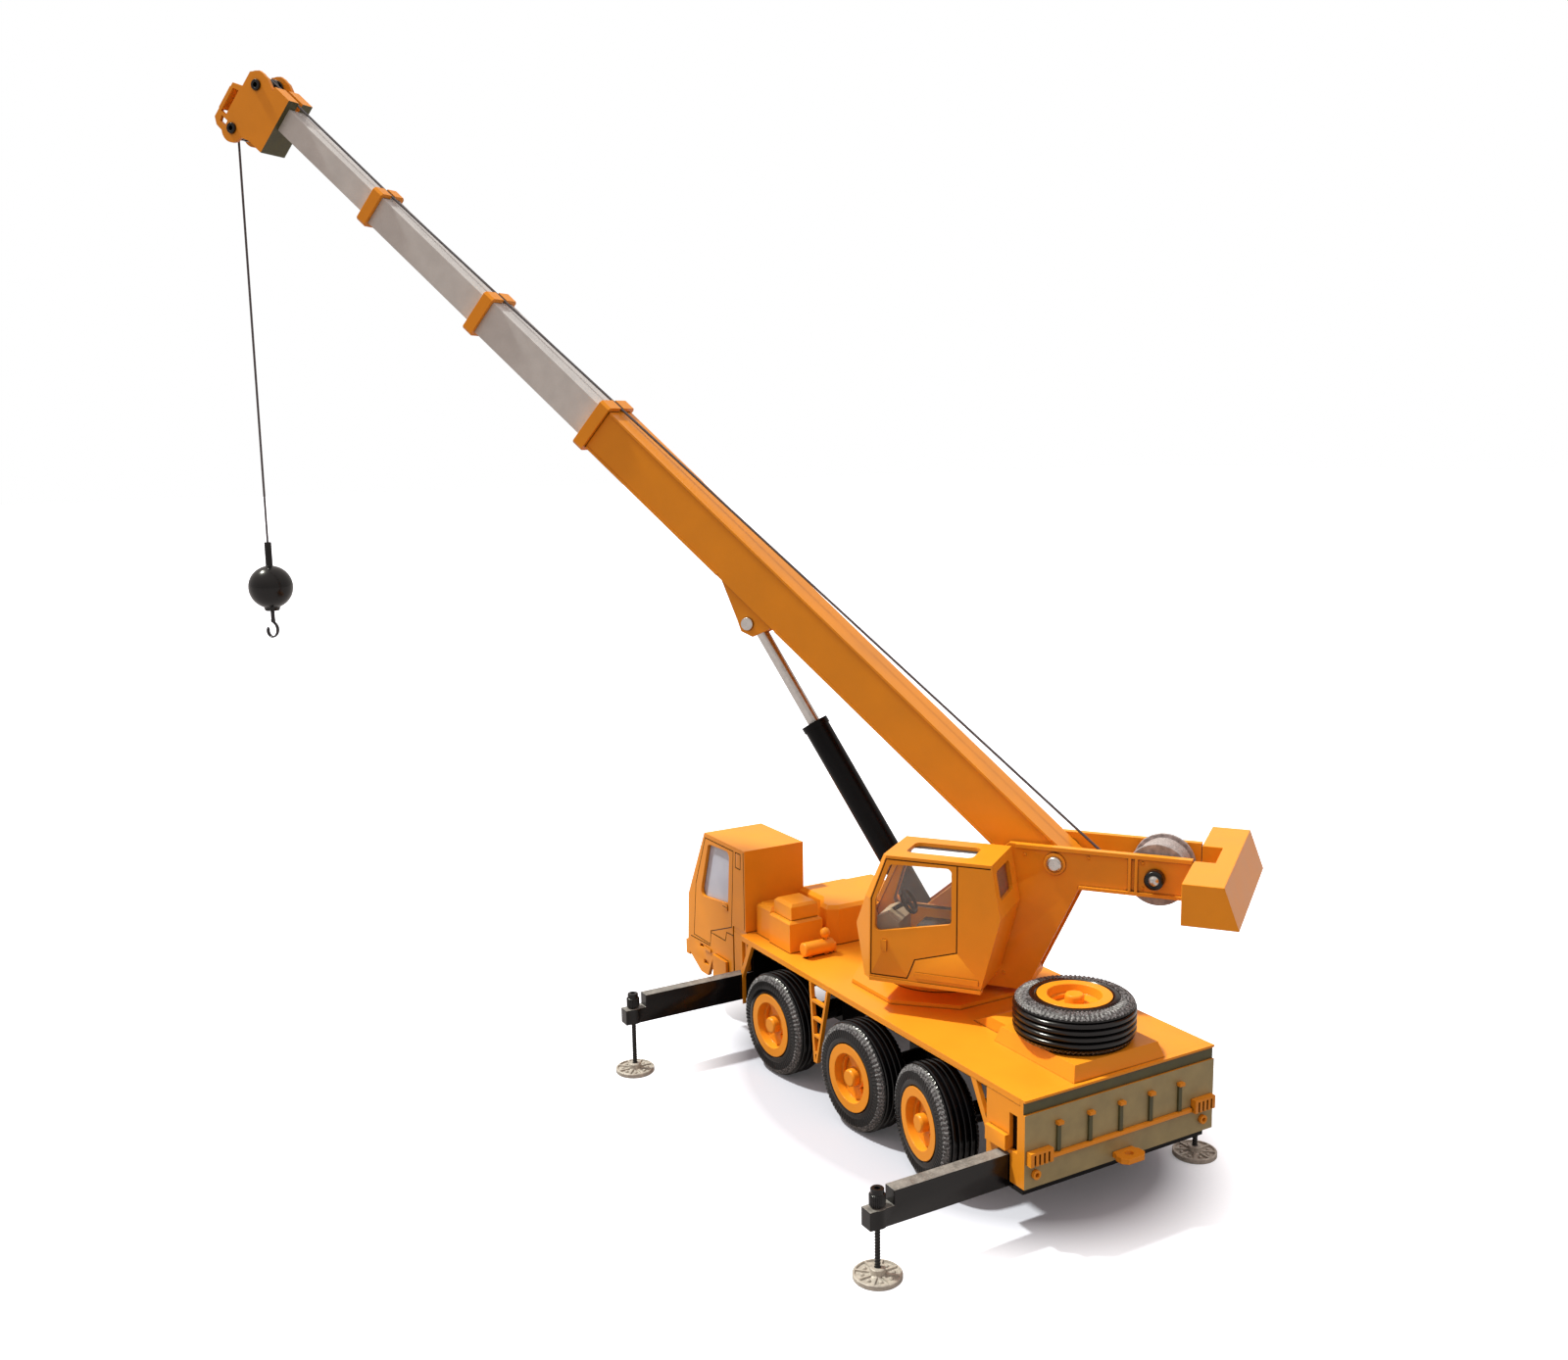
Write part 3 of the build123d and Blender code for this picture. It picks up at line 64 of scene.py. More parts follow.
# Frames of reference, in millimetres: the turned crane and the raised boom.
CRANE = Matrix.Rotation(SLEW, 4, "Z")
BOOM = CRANE @ Matrix.Translation(PIVOT) @ Matrix.Rotation(-ELEVATION, 4, "Y")


# ---------------------------------------------------------------- camera, lamps and floor
REFLECTED = 0.3                     # share of the white background that reflections see
HORIZON, OVERHEAD = 0.40, 0.78      # the studio's soft light, low down and above
SHADOWED = (0.066, 0.042)           # half sizes, in metres, of the floor that keeps its shadow


def camera():
    """The photograph's view."""
    place, target, roll = Vector((-269.57, 197.30, 156.39)), Vector((23.40, 26.97, 99.80)), -0.015
    ahead = (target - place).normalized()
    right = ahead.cross(Vector((0, 0, 1))).normalized()
    up = right.cross(ahead)
    turned = cos(roll) * right + sin(roll) * up
    upright = cos(roll) * up - sin(roll) * right
    cam = bpy.data.cameras.new("camera")
    cam.sensor_width, cam.lens = 36, 34.218
    cam.clip_start, cam.clip_end = 0.01, 20
    obj = bpy.data.objects.new("camera", cam)
    facing = Matrix((turned, upright, -ahead)).transposed().to_4x4()
    obj.matrix_world = Matrix.Translation(place * MM) @ facing
    bpy.context.collection.objects.link(obj)
    bpy.context.scene.camera = obj


def sun(name, heading, strength, angle, colour=(1, 1, 1)):
    """A lamp that shines from a heading."""
    lamp = bpy.data.lights.new(name, "SUN")
    lamp.energy, lamp.angle, lamp.color = strength, angle, colour
    obj = bpy.data.objects.new(name, lamp)
    obj.rotation_euler = Vector(heading).to_track_quat("Z", "Y").to_euler()
    bpy.context.collection.objects.link(obj)


def shown(tree):
    """1 for rays from the camera or through glass, a share for reflections, and 0 for other light."""
    path = tree.nodes.new("ShaderNodeLightPath")
    direct = tree.nodes.new("ShaderNodeMath")
    direct.operation = "MAXIMUM"
    tree.links.new(path.outputs["Is Camera Ray"], direct.inputs[0])
    tree.links.new(path.outputs["Is Transmission Ray"], direct.inputs[1])
    total = tree.nodes.new("ShaderNodeMath")
    total.operation, total.use_clamp = "MULTIPLY_ADD", True
    total.inputs[1].default_value = REFLECTED
    tree.links.new(path.outputs["Is Glossy Ray"], total.inputs[0])
    tree.links.new(direct.outputs[0], total.inputs[2])
    return total.outputs[0]


def surroundings():
    """A pale studio: white for the camera, plain and soft on the object."""
    world = bpy.data.worlds.new("studio")
    bpy.context.scene.world = world
    world.use_nodes = True
    tree = world.node_tree
    tree.nodes.clear()
    out = tree.nodes.new("ShaderNodeOutputWorld")
    mix = tree.nodes.new("ShaderNodeMixShader")
    seen = tree.nodes.new("ShaderNodeBackground")
    light = tree.nodes.new("ShaderNodeBackground")
    seen.inputs[0].default_value, seen.inputs[1].default_value = (1, 1, 1, 1), 1.0
    light.inputs[0].default_value = (1, 0.85, 0.75, 1)
    where = tree.nodes.new("ShaderNodeTexCoord")
    parts = tree.nodes.new("ShaderNodeSeparateXYZ")
    rise = tree.nodes.new("ShaderNodeMapRange")
    rise.inputs["From Min"].default_value, rise.inputs["From Max"].default_value = 0.05, 0.7
    rise.inputs["To Min"].default_value, rise.inputs["To Max"].default_value = HORIZON, OVERHEAD
    tree.links.new(where.outputs["Generated"], parts.inputs[0])
    tree.links.new(parts.outputs["Z"], rise.inputs["Value"])
    tree.links.new(rise.outputs[0], light.inputs[1])
    tree.links.new(shown(tree), mix.inputs[0])
    tree.links.new(light.outputs[0], mix.inputs[1])
    tree.links.new(seen.outputs[0], mix.inputs[2])
    tree.links.new(mix.outputs[0], out.inputs[0])
    corners = [(-4, -4, 0), (4, -4, 0), (4, 4, 0), (-4, 4, 0)]
    floor = new_object("floor", corners, [(0, 1, 2, 3)])
    floor.data.materials.append(floor_paint())
    sun("key", (0.42, 0.40, 1.0), 3.6, 0.07, (1, 1, 0.88))


def floor_paint():
    """White that keeps the near shadow, washes the shadow further out away with a painted glow, and bounces
    little light back up.
    """
    paint = bpy.data.materials.new("floor")
    paint.use_nodes = True
    tree = paint.node_tree
    tree.nodes.clear()
    out = tree.nodes.new("ShaderNodeOutputMaterial")
    add = tree.nodes.new("ShaderNodeAddShader")
    base = tree.nodes.new("ShaderNodeBsdfDiffuse")
    glow = tree.nodes.new("ShaderNodeEmission")
    seen = shown(tree)
    lift = tree.nodes.new("ShaderNodeMath")
    lift.operation = "MULTIPLY"
    where = tree.nodes.new("ShaderNodeTexCoord")
    scale = tree.nodes.new("ShaderNodeMapping")
    scale.inputs["Scale"].default_value = (1 / SHADOWED[0], 1 / SHADOWED[1], 0)
    away = tree.nodes.new("ShaderNodeVectorMath")
    away.operation = "LENGTH"
    # Painted light: past the kept ellipse the floor glows for camera rays, washing out the shadow that
    # falls there.
    fade = tree.nodes.new("ShaderNodeMapRange")
    fade.inputs["From Min"].default_value, fade.inputs["From Max"].default_value = 0.92, 1.3
    fade.inputs["To Min"].default_value, fade.inputs["To Max"].default_value = 0.04, 1.0
    tree.links.new(where.outputs["Object"], scale.inputs["Vector"])
    tree.links.new(scale.outputs[0], away.inputs[0])
    tree.links.new(away.outputs["Value"], fade.inputs["Value"])
    tree.links.new(fade.outputs[0], lift.inputs[1])
    tint = tree.nodes.new("ShaderNodeMix")
    tint.data_type = "RGBA"
    tint.inputs["A"].default_value = (0.22, 0.18, 0.15, 1)
    tint.inputs["B"].default_value = (0.56, 0.58, 0.69, 1)
    tree.links.new(seen, tint.inputs["Factor"])
    tree.links.new(tint.outputs["Result"], base.inputs[0])
    tree.links.new(seen, lift.inputs[0])
    tree.links.new(lift.outputs[0], glow.inputs[1])
    tree.links.new(base.outputs[0], add.inputs[0])
    tree.links.new(glow.outputs[0], add.inputs[1])
    tree.links.new(add.outputs[0], out.inputs[0])
    return paint


# ---------------------------------------------------------------- materials
def material(name, colour, rough, metal=0.0, coat=0.0, vary=0.08, grain=300.0, bump=0.02,
             bump_grain=1500.0, rough_vary=0.08, dust=None, cut=(0.52, 0.72), gloss=0.5, crevice_shade=False):
    """A procedural finish: slight shifts of colour and roughness, fine relief, specks and painted shade in
    grooves.

    dust is the specks' colour and strength, cut is where in the noise they start and end, and the last flag
    paints shade into grooves and inner corners, found there by ambient occlusion.
    """
    paint = bpy.data.materials.new(name)
    paint.use_nodes = True
    tree = paint.node_tree
    shader = tree.nodes["Principled BSDF"]
    shader.inputs["Metallic"].default_value = metal
    shader.inputs["Coat Weight"].default_value = coat
    shader.inputs["Coat Roughness"].default_value = 0.1
    shader.inputs["Specular IOR Level"].default_value = gloss
    where = tree.nodes.new("ShaderNodeTexCoord")
    cloud = tree.nodes.new("ShaderNodeTexNoise")
    cloud.inputs["Scale"].default_value = grain
    cloud.inputs["Detail"].default_value = 4
    tree.links.new(where.outputs["Object"], cloud.inputs["Vector"])
    ramp = tree.nodes.new("ShaderNodeValToRGB")
    low = [c * (1 - vary) for c in colour]
    high = [min(1, c * (1 + vary)) for c in colour]
    dark, pale = ramp.color_ramp.elements
    dark.position, pale.position = 0.3, 0.7
    dark.color, pale.color = (*low, 1), (*high, 1)
    tree.links.new(cloud.outputs["Fac"], ramp.inputs[0])
    tint = ramp.outputs[0]
    if dust:
        speck = tree.nodes.new("ShaderNodeTexNoise")
        speck.inputs["Scale"].default_value = 2600
        speck.inputs["Detail"].default_value = 6
        tree.links.new(where.outputs["Object"], speck.inputs["Vector"])
        span = tree.nodes.new("ShaderNodeMapRange")
        span.inputs["From Min"].default_value, span.inputs["From Max"].default_value = cut
        span.inputs["To Max"].default_value = dust[3]
        tree.links.new(speck.outputs["Fac"], span.inputs["Value"])
        mix = tree.nodes.new("ShaderNodeMix")
        mix.data_type = "RGBA"
        mix.inputs["B"].default_value = (*dust[:3], 1)
        tree.links.new(span.outputs[0], mix.inputs["Factor"])
        tree.links.new(tint, mix.inputs["A"])
        tint = mix.outputs["Result"]
    # Painted shade: the colour is darkened in grooves and inner corners by ambient occlusion.
    if crevice_shade:
        crevice = tree.nodes.new("ShaderNodeAmbientOcclusion")
        crevice.samples = 8
        crevice.inputs["Distance"].default_value = 0.6 * MM
        shade = tree.nodes.new("ShaderNodeMapRange")
        shade.inputs["From Min"].default_value, shade.inputs["From Max"].default_value = 0.45, 0.82
        shade.inputs["To Min"].default_value, shade.inputs["To Max"].default_value = 0.10, 1.0
        painted_shade = tree.nodes.new("ShaderNodeMix")
        painted_shade.data_type, painted_shade.blend_type = "RGBA", "MULTIPLY"
        painted_shade.inputs["Factor"].default_value = 1.0
        tree.links.new(crevice.outputs["AO"], shade.inputs["Value"])
        tree.links.new(tint, painted_shade.inputs["A"])
        tree.links.new(shade.outputs[0], painted_shade.inputs["B"])
        tint = painted_shade.outputs["Result"]
    tree.links.new(tint, shader.inputs["Base Color"])
    level = tree.nodes.new("ShaderNodeMapRange")
    level.inputs["To Min"].default_value = rough - rough_vary
    level.inputs["To Max"].default_value = rough + rough_vary
    tree.links.new(cloud.outputs["Fac"], level.inputs["Value"])
    tree.links.new(level.outputs[0], shader.inputs["Roughness"])
    if bump:
        fine = tree.nodes.new("ShaderNodeTexNoise")
        fine.inputs["Scale"].default_value = bump_grain
        fine.inputs["Detail"].default_value = 3
        tree.links.new(where.outputs["Object"], fine.inputs["Vector"])
        relief = tree.nodes.new("ShaderNodeBump")
        relief.inputs["Strength"].default_value = bump
        relief.inputs["Distance"].default_value = 0.1 * MM
        tree.links.new(fine.outputs["Fac"], relief.inputs["Height"])
        tree.links.new(relief.outputs[0], shader.inputs["Normal"])
    return paint


def clear(name, colour, alpha):
    """Clear moulded glazing."""
    paint = material(name, colour, 0.06, vary=0.03, bump=0.01, rough_vary=0.02)
    shader = paint.node_tree.nodes["Principled BSDF"]
    shader.inputs["Alpha"].default_value = alpha
    return paint


# The enamel carries painted shade in its grooves and inner corners.
ENAMEL = material("enamel", (0.90, 0.325, 0.018), 0.36, coat=0.1, vary=0.05, grain=90, bump=0.05,
                  gloss=0.2, crevice_shade=True)
# Painted shade: a dull khaki stands in for the yellow enamel on the rear panel's shaded face.
REAR_SHADE_KHAKI = material("rear panel painted shade", (0.36, 0.30, 0.15), 0.5, coat=0.1, vary=0.12, grain=260, bump=0.08)
# Painted shade: a dark olive for shadowed faces, on the rear panel's top band and ribs and the boom head's
# rear.
SHADE_OLIVE = material("painted shade olive", (0.075, 0.075, 0.028), 0.5, vary=0.2, grain=260, bump=0.08)
SILVER = material("silver enamel", (0.64, 0.65, 0.69), 0.4, coat=0.1, vary=0.06, grain=260, bump=0.06,
                  dust=(0.62, 0.58, 0.58, 0.4))
BLACK = material("black plastic", (0.005, 0.005, 0.006), 0.24, coat=0.1, vary=0.3, bump=0.05, gloss=0.3)
BLACK_ENAMEL = material("black enamel", (0.003, 0.003, 0.004), 0.3, vary=0.3, bump=0.04, gloss=0.12)
TYRE = material("tyre", (0.003, 0.003, 0.004), 0.22, vary=0.3, bump=0.05, bump_grain=2500, gloss=0.4)
STEEL = material("bare steel", (0.56, 0.54, 0.52), 0.28, metal=1.0, vary=0.08, grain=900, bump=0.04)
GUNMETAL = material("dark metal", (0.05, 0.05, 0.055), 0.3, metal=0.8, vary=0.2, grain=900, bump=0.05)
SCUFFED = material("scuffed tyre wall", (0.03, 0.03, 0.034), 0.45, vary=0.4, grain=1400, bump=0.3,
                   bump_grain=5000, dust=(0.30, 0.30, 0.33, 0.9), cut=(0.44, 0.66))
# A lighter grey with pale specks, painted on the outrigger beams' upward faces.
GREY_TOPS = material("grey beam tops", (0.20, 0.195, 0.19), 0.4, vary=0.35, grain=500, bump=0.1,
                dust=(0.42, 0.40, 0.38, 0.7))
PAD_METAL = material("pad metal", (0.50, 0.47, 0.43), 0.5, metal=0.25, vary=0.2, grain=900, bump=0.2,
                     dust=(0.3, 0.27, 0.24, 0.5))
GLASS = clear("glazing", (0.85, 0.9, 0.97), 0.08)
MILKY = clear("drive cab glazing", (0.74, 0.79, 1.0), 0.66)
BEIGE = material("beige plastic", (0.46, 0.36, 0.24), 0.55, vary=0.1, bump=0.1)
ROPE = material("rope", (0.10, 0.095, 0.11), 0.8, vary=0.3, grain=3000, bump=0.3, bump_grain=9000)
WOUND = material("wound rope", (0.42, 0.37, 0.38), 0.7, vary=0.3, grain=3000, bump=0.3, bump_grain=9000)
FLANGE = material("drum flange", (0.36, 0.32, 0.33), 0.5, vary=0.35, grain=900, bump=0.1)
PAINTS = {"enamel": ENAMEL, "silver_enamel": SILVER, "black_enamel": BLACK_ENAMEL,
          "black_plastic": BLACK, "steel": STEEL, "seat": BEIGE}


# ---------------------------------------------------------------- mesh helpers
def new_object(name, verts, faces):
    """A mesh object from plain lists, in metres."""
    mesh = bpy.data.meshes.new(name)
    mesh.from_pydata([tuple(v) for v in verts], [], faces)
    mesh.validate()
    obj = bpy.data.objects.new(name, mesh)
    bpy.context.collection.objects.link(obj)
    return obj


def settle(obj, body, paint, slot, *nodes):
    """Paints a piece, puts it on its body, and lets it stand for CAD nodes."""
    obj.data.materials.clear()
    obj.data.materials.append(paint)
    if body:
        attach(obj, body)
    if nodes:
        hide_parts(*nodes)
    return obj


def smooth_by_angle(mesh, angle):
    """Smooth faces with edges left sharp where they turn by more than the angle."""
    mesh.polygons.foreach_set("use_smooth", [True] * len(mesh.polygons))
    mesh.set_sharp_from_angle(angle=angle)


def soften(node, width=0.16, paint=None, angle=32):
    """A copy of a CAD node with its flat faces joined and its edges rounded."""
    source = frame["nodes"][node]
    mesh = source.data.copy()
    work = bmesh.new()
    work.from_mesh(mesh)
    bmesh.ops.remove_doubles(work, verts=work.verts, dist=1e-6)
    bmesh.ops.dissolve_limit(work, angle_limit=radians(0.6), verts=work.verts, edges=work.edges)
    work.to_mesh(mesh)
    work.free()
    obj = bpy.data.objects.new(node + "_soft", mesh)
    bpy.context.collection.objects.link(obj)
    smooth_by_angle(mesh, radians(angle))
    bevel = obj.modifiers.new("round", "BEVEL")
    bevel.width, bevel.segments = width * MM, 2
    bevel.limit_method, bevel.angle_limit = "ANGLE", radians(angle)
    bevel.harden_normals = True
    return settle(obj, BODY_OF[node], paint or PAINTS[SLOT_OF[node]], SLOT_OF[node], node)


def repaint(obj, paint, chosen):
    """Gives another finish to the faces whose centre, in millimetres, and outward direction pass a test."""
    obj.data.materials.append(paint)
    place = len(obj.data.materials) - 1
    for face in obj.data.polygons:
        if chosen(face.center / MM, face.normal):
            face.material_index = place


def turned(profile, steps, shift=None):
    """Verts and faces turned about Z from (radius, height) points; shift moves a point as it turns."""
    verts, faces = [], []
    for i in range(steps):
        angle = 2 * pi * i / steps
        for k, (r, z) in enumerate(profile):
            if shift:
                r, z = shift(r, z, angle, i, k)
            verts.append((r * cos(angle), r * sin(angle), z))
    n = len(profile)
    for i in range(steps):
        a, b = i * n, (i + 1) % steps * n
        faces += [(a + k, b + k, b + k + 1, a + k + 1) for k in range(n - 1)]
    return verts, faces


def bar(x0, x1, y0, y1, z0, z1):
    """Verts and faces of a box."""
    verts = [(x, y, z) for x in (x0, x1) for y in (y0, y1) for z in (z0, z1)]
    faces = [(0, 1, 3, 2), (4, 6, 7, 5), (0, 4, 5, 1), (2, 3, 7, 6), (0, 2, 6, 4), (1, 5, 7, 3)]
    return verts, faces


def gather(name, parts, angle=32, bevel=0):
    """One object from (matrix in millimetres, verts and faces) pairs."""
    verts, faces = [], []
    for place, (points, sides) in parts:
        start = len(verts)
        verts += [place @ Vector(p) * MM for p in points]
        faces += [tuple(start + i for i in side) for side in sides]
    obj = new_object(name, verts, faces)
    work = bmesh.new()
    work.from_mesh(obj.data)
    bmesh.ops.remove_doubles(work, verts=work.verts, dist=2e-7)
    bmesh.ops.recalc_face_normals(work, faces=work.faces)
    work.to_mesh(obj.data)
    work.free()
    smooth_by_angle(obj.data, radians(angle))
    if bevel:
        edge = obj.modifiers.new("round", "BEVEL")
        edge.width, edge.segments = bevel * MM, 2
        edge.limit_method, edge.angle_limit = "ANGLE", radians(angle)
        edge.harden_normals = True
    return obj


def at(x, y, z):
    """A shift in millimetres."""
    return Matrix.Translation((x, y, z))


# ---------------------------------------------------------------- rope
ROPE_R = 0.3
BASE_END, SHOWN = 149.5, 41.5
GUIDES = (3.4, 2.5, 1.7)
DRUM = (-50.3, 61.4)
WOUND_R = 6.0
SHEAVE_UP, SHEAVE_DOWN = (277.6, -0.4), (277.9, -13.6)
UPPER_BEND, LOWER_GROOVE = 2.2, 1.7     # the rope's bend on the upper sheave, the lower one's groove
DROP = 107.0
LEAD_BENDS = 0.22                       # share of the lead up to just past the boom's pivot
BETWEEN_SHEAVES = [(279.9, -4.0), (280.05, -10.0), (280.1, -13.3)]


def boom_point(along, up):
    """A point above the boom's middle line, in metres."""
    return BOOM @ Vector((along, 0, up)) * MM


def thread(name, points):
    """A rope as a mesh tube along its smooth route, with the route's own line."""
    lines = []
    for radius in (ROPE_R * MM, 0):
        curve = bpy.data.curves.new(name, "CURVE")
        curve.dimensions, curve.resolution_u = "3D", 12
        curve.bevel_depth, curve.bevel_resolution, curve.use_fill_caps = radius, 3, radius > 0
        spline = curve.splines.new("NURBS")
        spline.points.add(len(points) - 1)
        for knot, point in zip(spline.points, points):
            knot.co = (*point, 1)
        spline.order_u, spline.use_endpoint_u = 3, True
        holder = bpy.data.objects.new(name + "_line", curve)
        bpy.context.collection.objects.link(holder)
        lines.append(bpy.data.meshes.new_from_object(holder))
        bpy.data.objects.remove(holder)
    path = [v.co.copy() for v in lines[1].vertices]
    obj = bpy.data.objects.new(name, lines[0])
    bpy.context.collection.objects.link(obj)
    smooth_by_angle(obj.data, radians(60))
    return obj, path


def rope(name, points, nodes=(), end=None):
    """A stretch of the hoist rope, left in world space on no body; the given end is not used."""
    obj, path = thread(name, points)
    settle(obj, None, ROPE, "rope", *nodes)
    end = end or path[-1]
    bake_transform(obj)


def ropes():
    """The rope from the drum, through the three collars, over both sheaves and down to the ball."""
    guide = BOOM @ Vector((BASE_END, 0, GUIDES[0]))
    drum = CRANE @ Vector((DRUM[0], 0, DRUM[1]))
    ahead = (guide - drum).normalized()
    below = ahead.cross(CRANE @ Vector((0, 1, 0))).normalized()
    if below.z > 0:
        below = -below
    wound = WOUND_R + ROPE_R + 0.05
    start = drum + below * wound + ahead * wound * wound / (guide - drum).length
    collars = [boom_point(BASE_END + SHOWN * n, height) for n, height in enumerate(GUIDES)]
    lead = [start * MM, (start * MM).lerp(collars[0], 0.5), collars[0]]
    past_pivot = lead[0].lerp(lead[2], LEAD_BENDS)
    rope("rope_lead", lead, ("hoist_rope_lead",), end=past_pivot)
    for n in range(2):
        ends = collars[n], collars[n].lerp(collars[n + 1], 0.5), collars[n + 1]
        rope(f"rope_span_{n + 1}", ends, ("hoist_rope_run",) if n == 0 else ())
    near = boom_point(SHEAVE_UP[0] - 3.6, SHEAVE_UP[1] + UPPER_BEND - 0.05)
    over = [collars[2], near]
    for angle in (100, 62, 24):
        a = radians(angle)
        over.append(boom_point(SHEAVE_UP[0] + UPPER_BEND * cos(a), SHEAVE_UP[1] + UPPER_BEND * sin(a)))
    over += [boom_point(along, up) for along, up in BETWEEN_SHEAVES]
    off_sheave = LOWER_GROOVE + ROPE_R + 0.05
    along = SHEAVE_DOWN[0] + off_sheave * cos(ELEVATION)
    up = SHEAVE_DOWN[1] - off_sheave * sin(ELEVATION)
    top = boom_point(along, up)
    over.append(top + Vector((0, 0, 0.2 * MM)))
    rope("rope_over_head", over, end=near)
    foot = top - Vector((0, 0, DROP * MM))
    rope("rope_drop", [top, top.lerp(foot, 0.5), foot], ("hoist_rope_drop",))


# ---------------------------------------------------------------- wheels
TYRE_R, TYRE_W, WHEEL_OUT = 12.6, 8.6, 27.2
AXLES = {"front": (34.2, 3.5), "middle": (-2.0, 2.5), "rear": (-33.3, -8.0)}
LYING = Matrix.Rotation(radians(-90), 4, "X")       # turns a Z axis into +Y
RIBS = 4
SPARE = (-47.8, 0.6, 33.2)                          # under the middle of the spare tyre
WHEEL_SCUFF, SPARE_SCUFF, SCUFF_END = 10.9, 9.4, 12.0


def tyre_shape():
    """A tyre about Z, its outer wall at height 0: serrated walls, round ribs and grooves between."""
    wall = [(7.8, -0.75), (7.85, -0.25), (8.15, -0.02), (8.9, -0.04), (9.1, -0.12), (9.35, -0.04)]
    wall += [(10.2, -0.02), (10.9, -0.03), (11.25, -0.2), (11.75, -0.5), (12.15, -0.9), (12.35, -1.35)]
    tread = []
    low, high = -1.55, 1.55 - TYRE_W
    pitch = (high - low) / RIBS
    for n in range(RIBS):
        y = low + n * pitch
        tread += [(11.75, y), (12.3, y + 0.1 * pitch), (12.55, y + 0.25 * pitch), (12.6, y + 0.5 * pitch)]
        tread += [(12.55, y + 0.73 * pitch), (12.3, y + 0.88 * pitch), (11.75, y + 0.98 * pitch)]
    inner = [(r, -TYRE_W - z) for r, z in reversed(wall)]
    profile = wall + tread + inner
    teeth = {k for k, (r, z) in enumerate(profile) if 9.3 < r < 12.2 and abs(z + TYRE_W / 2) > 3.3}

    def serrate(r, z, angle, i, k):
        if k in teeth and i % 4 < 2:
            z += -0.2 if z > -TYRE_W / 2 else 0.2
        return r, z

    return turned(profile, 288, serrate)


def tyres():
    """All seven tyres."""
    shape = tyre_shape()
    for name, (x, steer) in AXLES.items():
        axle = at(x, 0, TYRE_R) @ Matrix.Rotation(radians(steer), 4, "Z")
        left = at(0, WHEEL_OUT, 0) @ LYING
        sides = [axle @ left, axle @ Matrix.Rotation(pi, 4, "Z") @ left]
        pair = gather("tyre_pair_" + name, [(place, shape) for place in sides], 28)
        finish_tyre(pair, "wheels_" + name, "tyres_" + name, axle.inverted(), WHEEL_SCUFF)
    spare = at(SPARE[0], SPARE[1], SPARE[2] + TYRE_W)
    lying = gather("spare_tyre_detail", [(spare, shape)], 28)
    finish_tyre(lying, "carrier", "spare_tyre", LYING @ spare.inverted(), SPARE_SCUFF)


def finish_tyre(obj, body, node, home, scuffed_from):
    """Glossy tread and bead, and a scuffed ring of teeth on the walls."""
    settle(obj, body, TYRE, "tyre", node)

    def wall(centre, normal):
        here = home @ centre
        across = (home.to_3x3() @ normal).y
        return scuffed_from < Vector((here.x, here.z)).length < SCUFF_END and abs(across) > 0.4

    repaint(obj, SCUFFED, wall)


# ---------------------------------------------------------------- outriggers
REACH = {"left": 54.7, "right": -30.5}
BEAM_X = {("rear", "left"): -55.8, ("rear", "right"): -52.2,
          ("front", "left"): 52.2, ("front", "right"): 55.8}
CAP_LOW = {"rear": 14.7, "front": 16.9}


def pad_shape():
    """A round foot with a raised rim, a hub and spokes."""
    plate = turned([(0.01, 0), (4.6, 0), (4.75, 0.15), (4.75, 0.95), (4.6, 1.1), (4.3, 1.1), (4.15, 0.75),
                    (1.75, 0.75), (1.5, 1.0), (1.5, 2.05), (1.35, 2.2), (0.66, 2.2), (0.66, 1.6)], 96)
    parts = [(Matrix.Identity(4), plate)]
    for i in range(8):
        spoke = Matrix.Rotation(i * pi / 4, 4, "Z")
        parts.append((spoke, bar(1.4, 4.3, -0.22, 0.22, 0.7, 1.12)))
        knob = turned([(0.01, 1.15), (0.3, 1.1), (0.42, 0.95), (0.42, 0.7)], 16)
        parts.append((spoke @ Matrix.Rotation(pi / 8, 4, "Z") @ at(3.0, 0, 0), knob))
    return parts


def screw_shape(low, high, cap):
    """A threaded spindle with a fluted cap."""
    pitch, fine = 0.62, 6
    rows = int((high - low) / pitch * fine)
    line = [(0.6, low + (high - low) * k / rows) for k in range(rows + 1)]

    def thread_cut(r, z, angle, i, k):
        turn = ((z - low) / pitch - angle / (2 * pi)) % 1
        return r - 0.13 * abs(2 * turn - 1), z

    def flutes(r, z, angle, i, k):
        return (r - 0.12, z) if i % 4 == 0 and r > 1.45 else (r, z)

    knob = [(0.55, cap), (1.45, cap), (1.6, cap + 0.15), (1.6, cap + 2.1), (1.45, cap + 2.25)]
    knob += [(1.3, cap + 2.3), (1.3, cap + 3.25), (1.15, cap + 3.4), (0.65, cap + 3.4)]
    knob += [(0.55, cap + 3.3), (0.5, cap + 2.4), (0.01, cap + 2.4)]
    foot = [(0.01, low), (0.6, low)]
    return [turned(line, 24, thread_cut), turned(knob, 96, flutes), turned(foot, 24)]


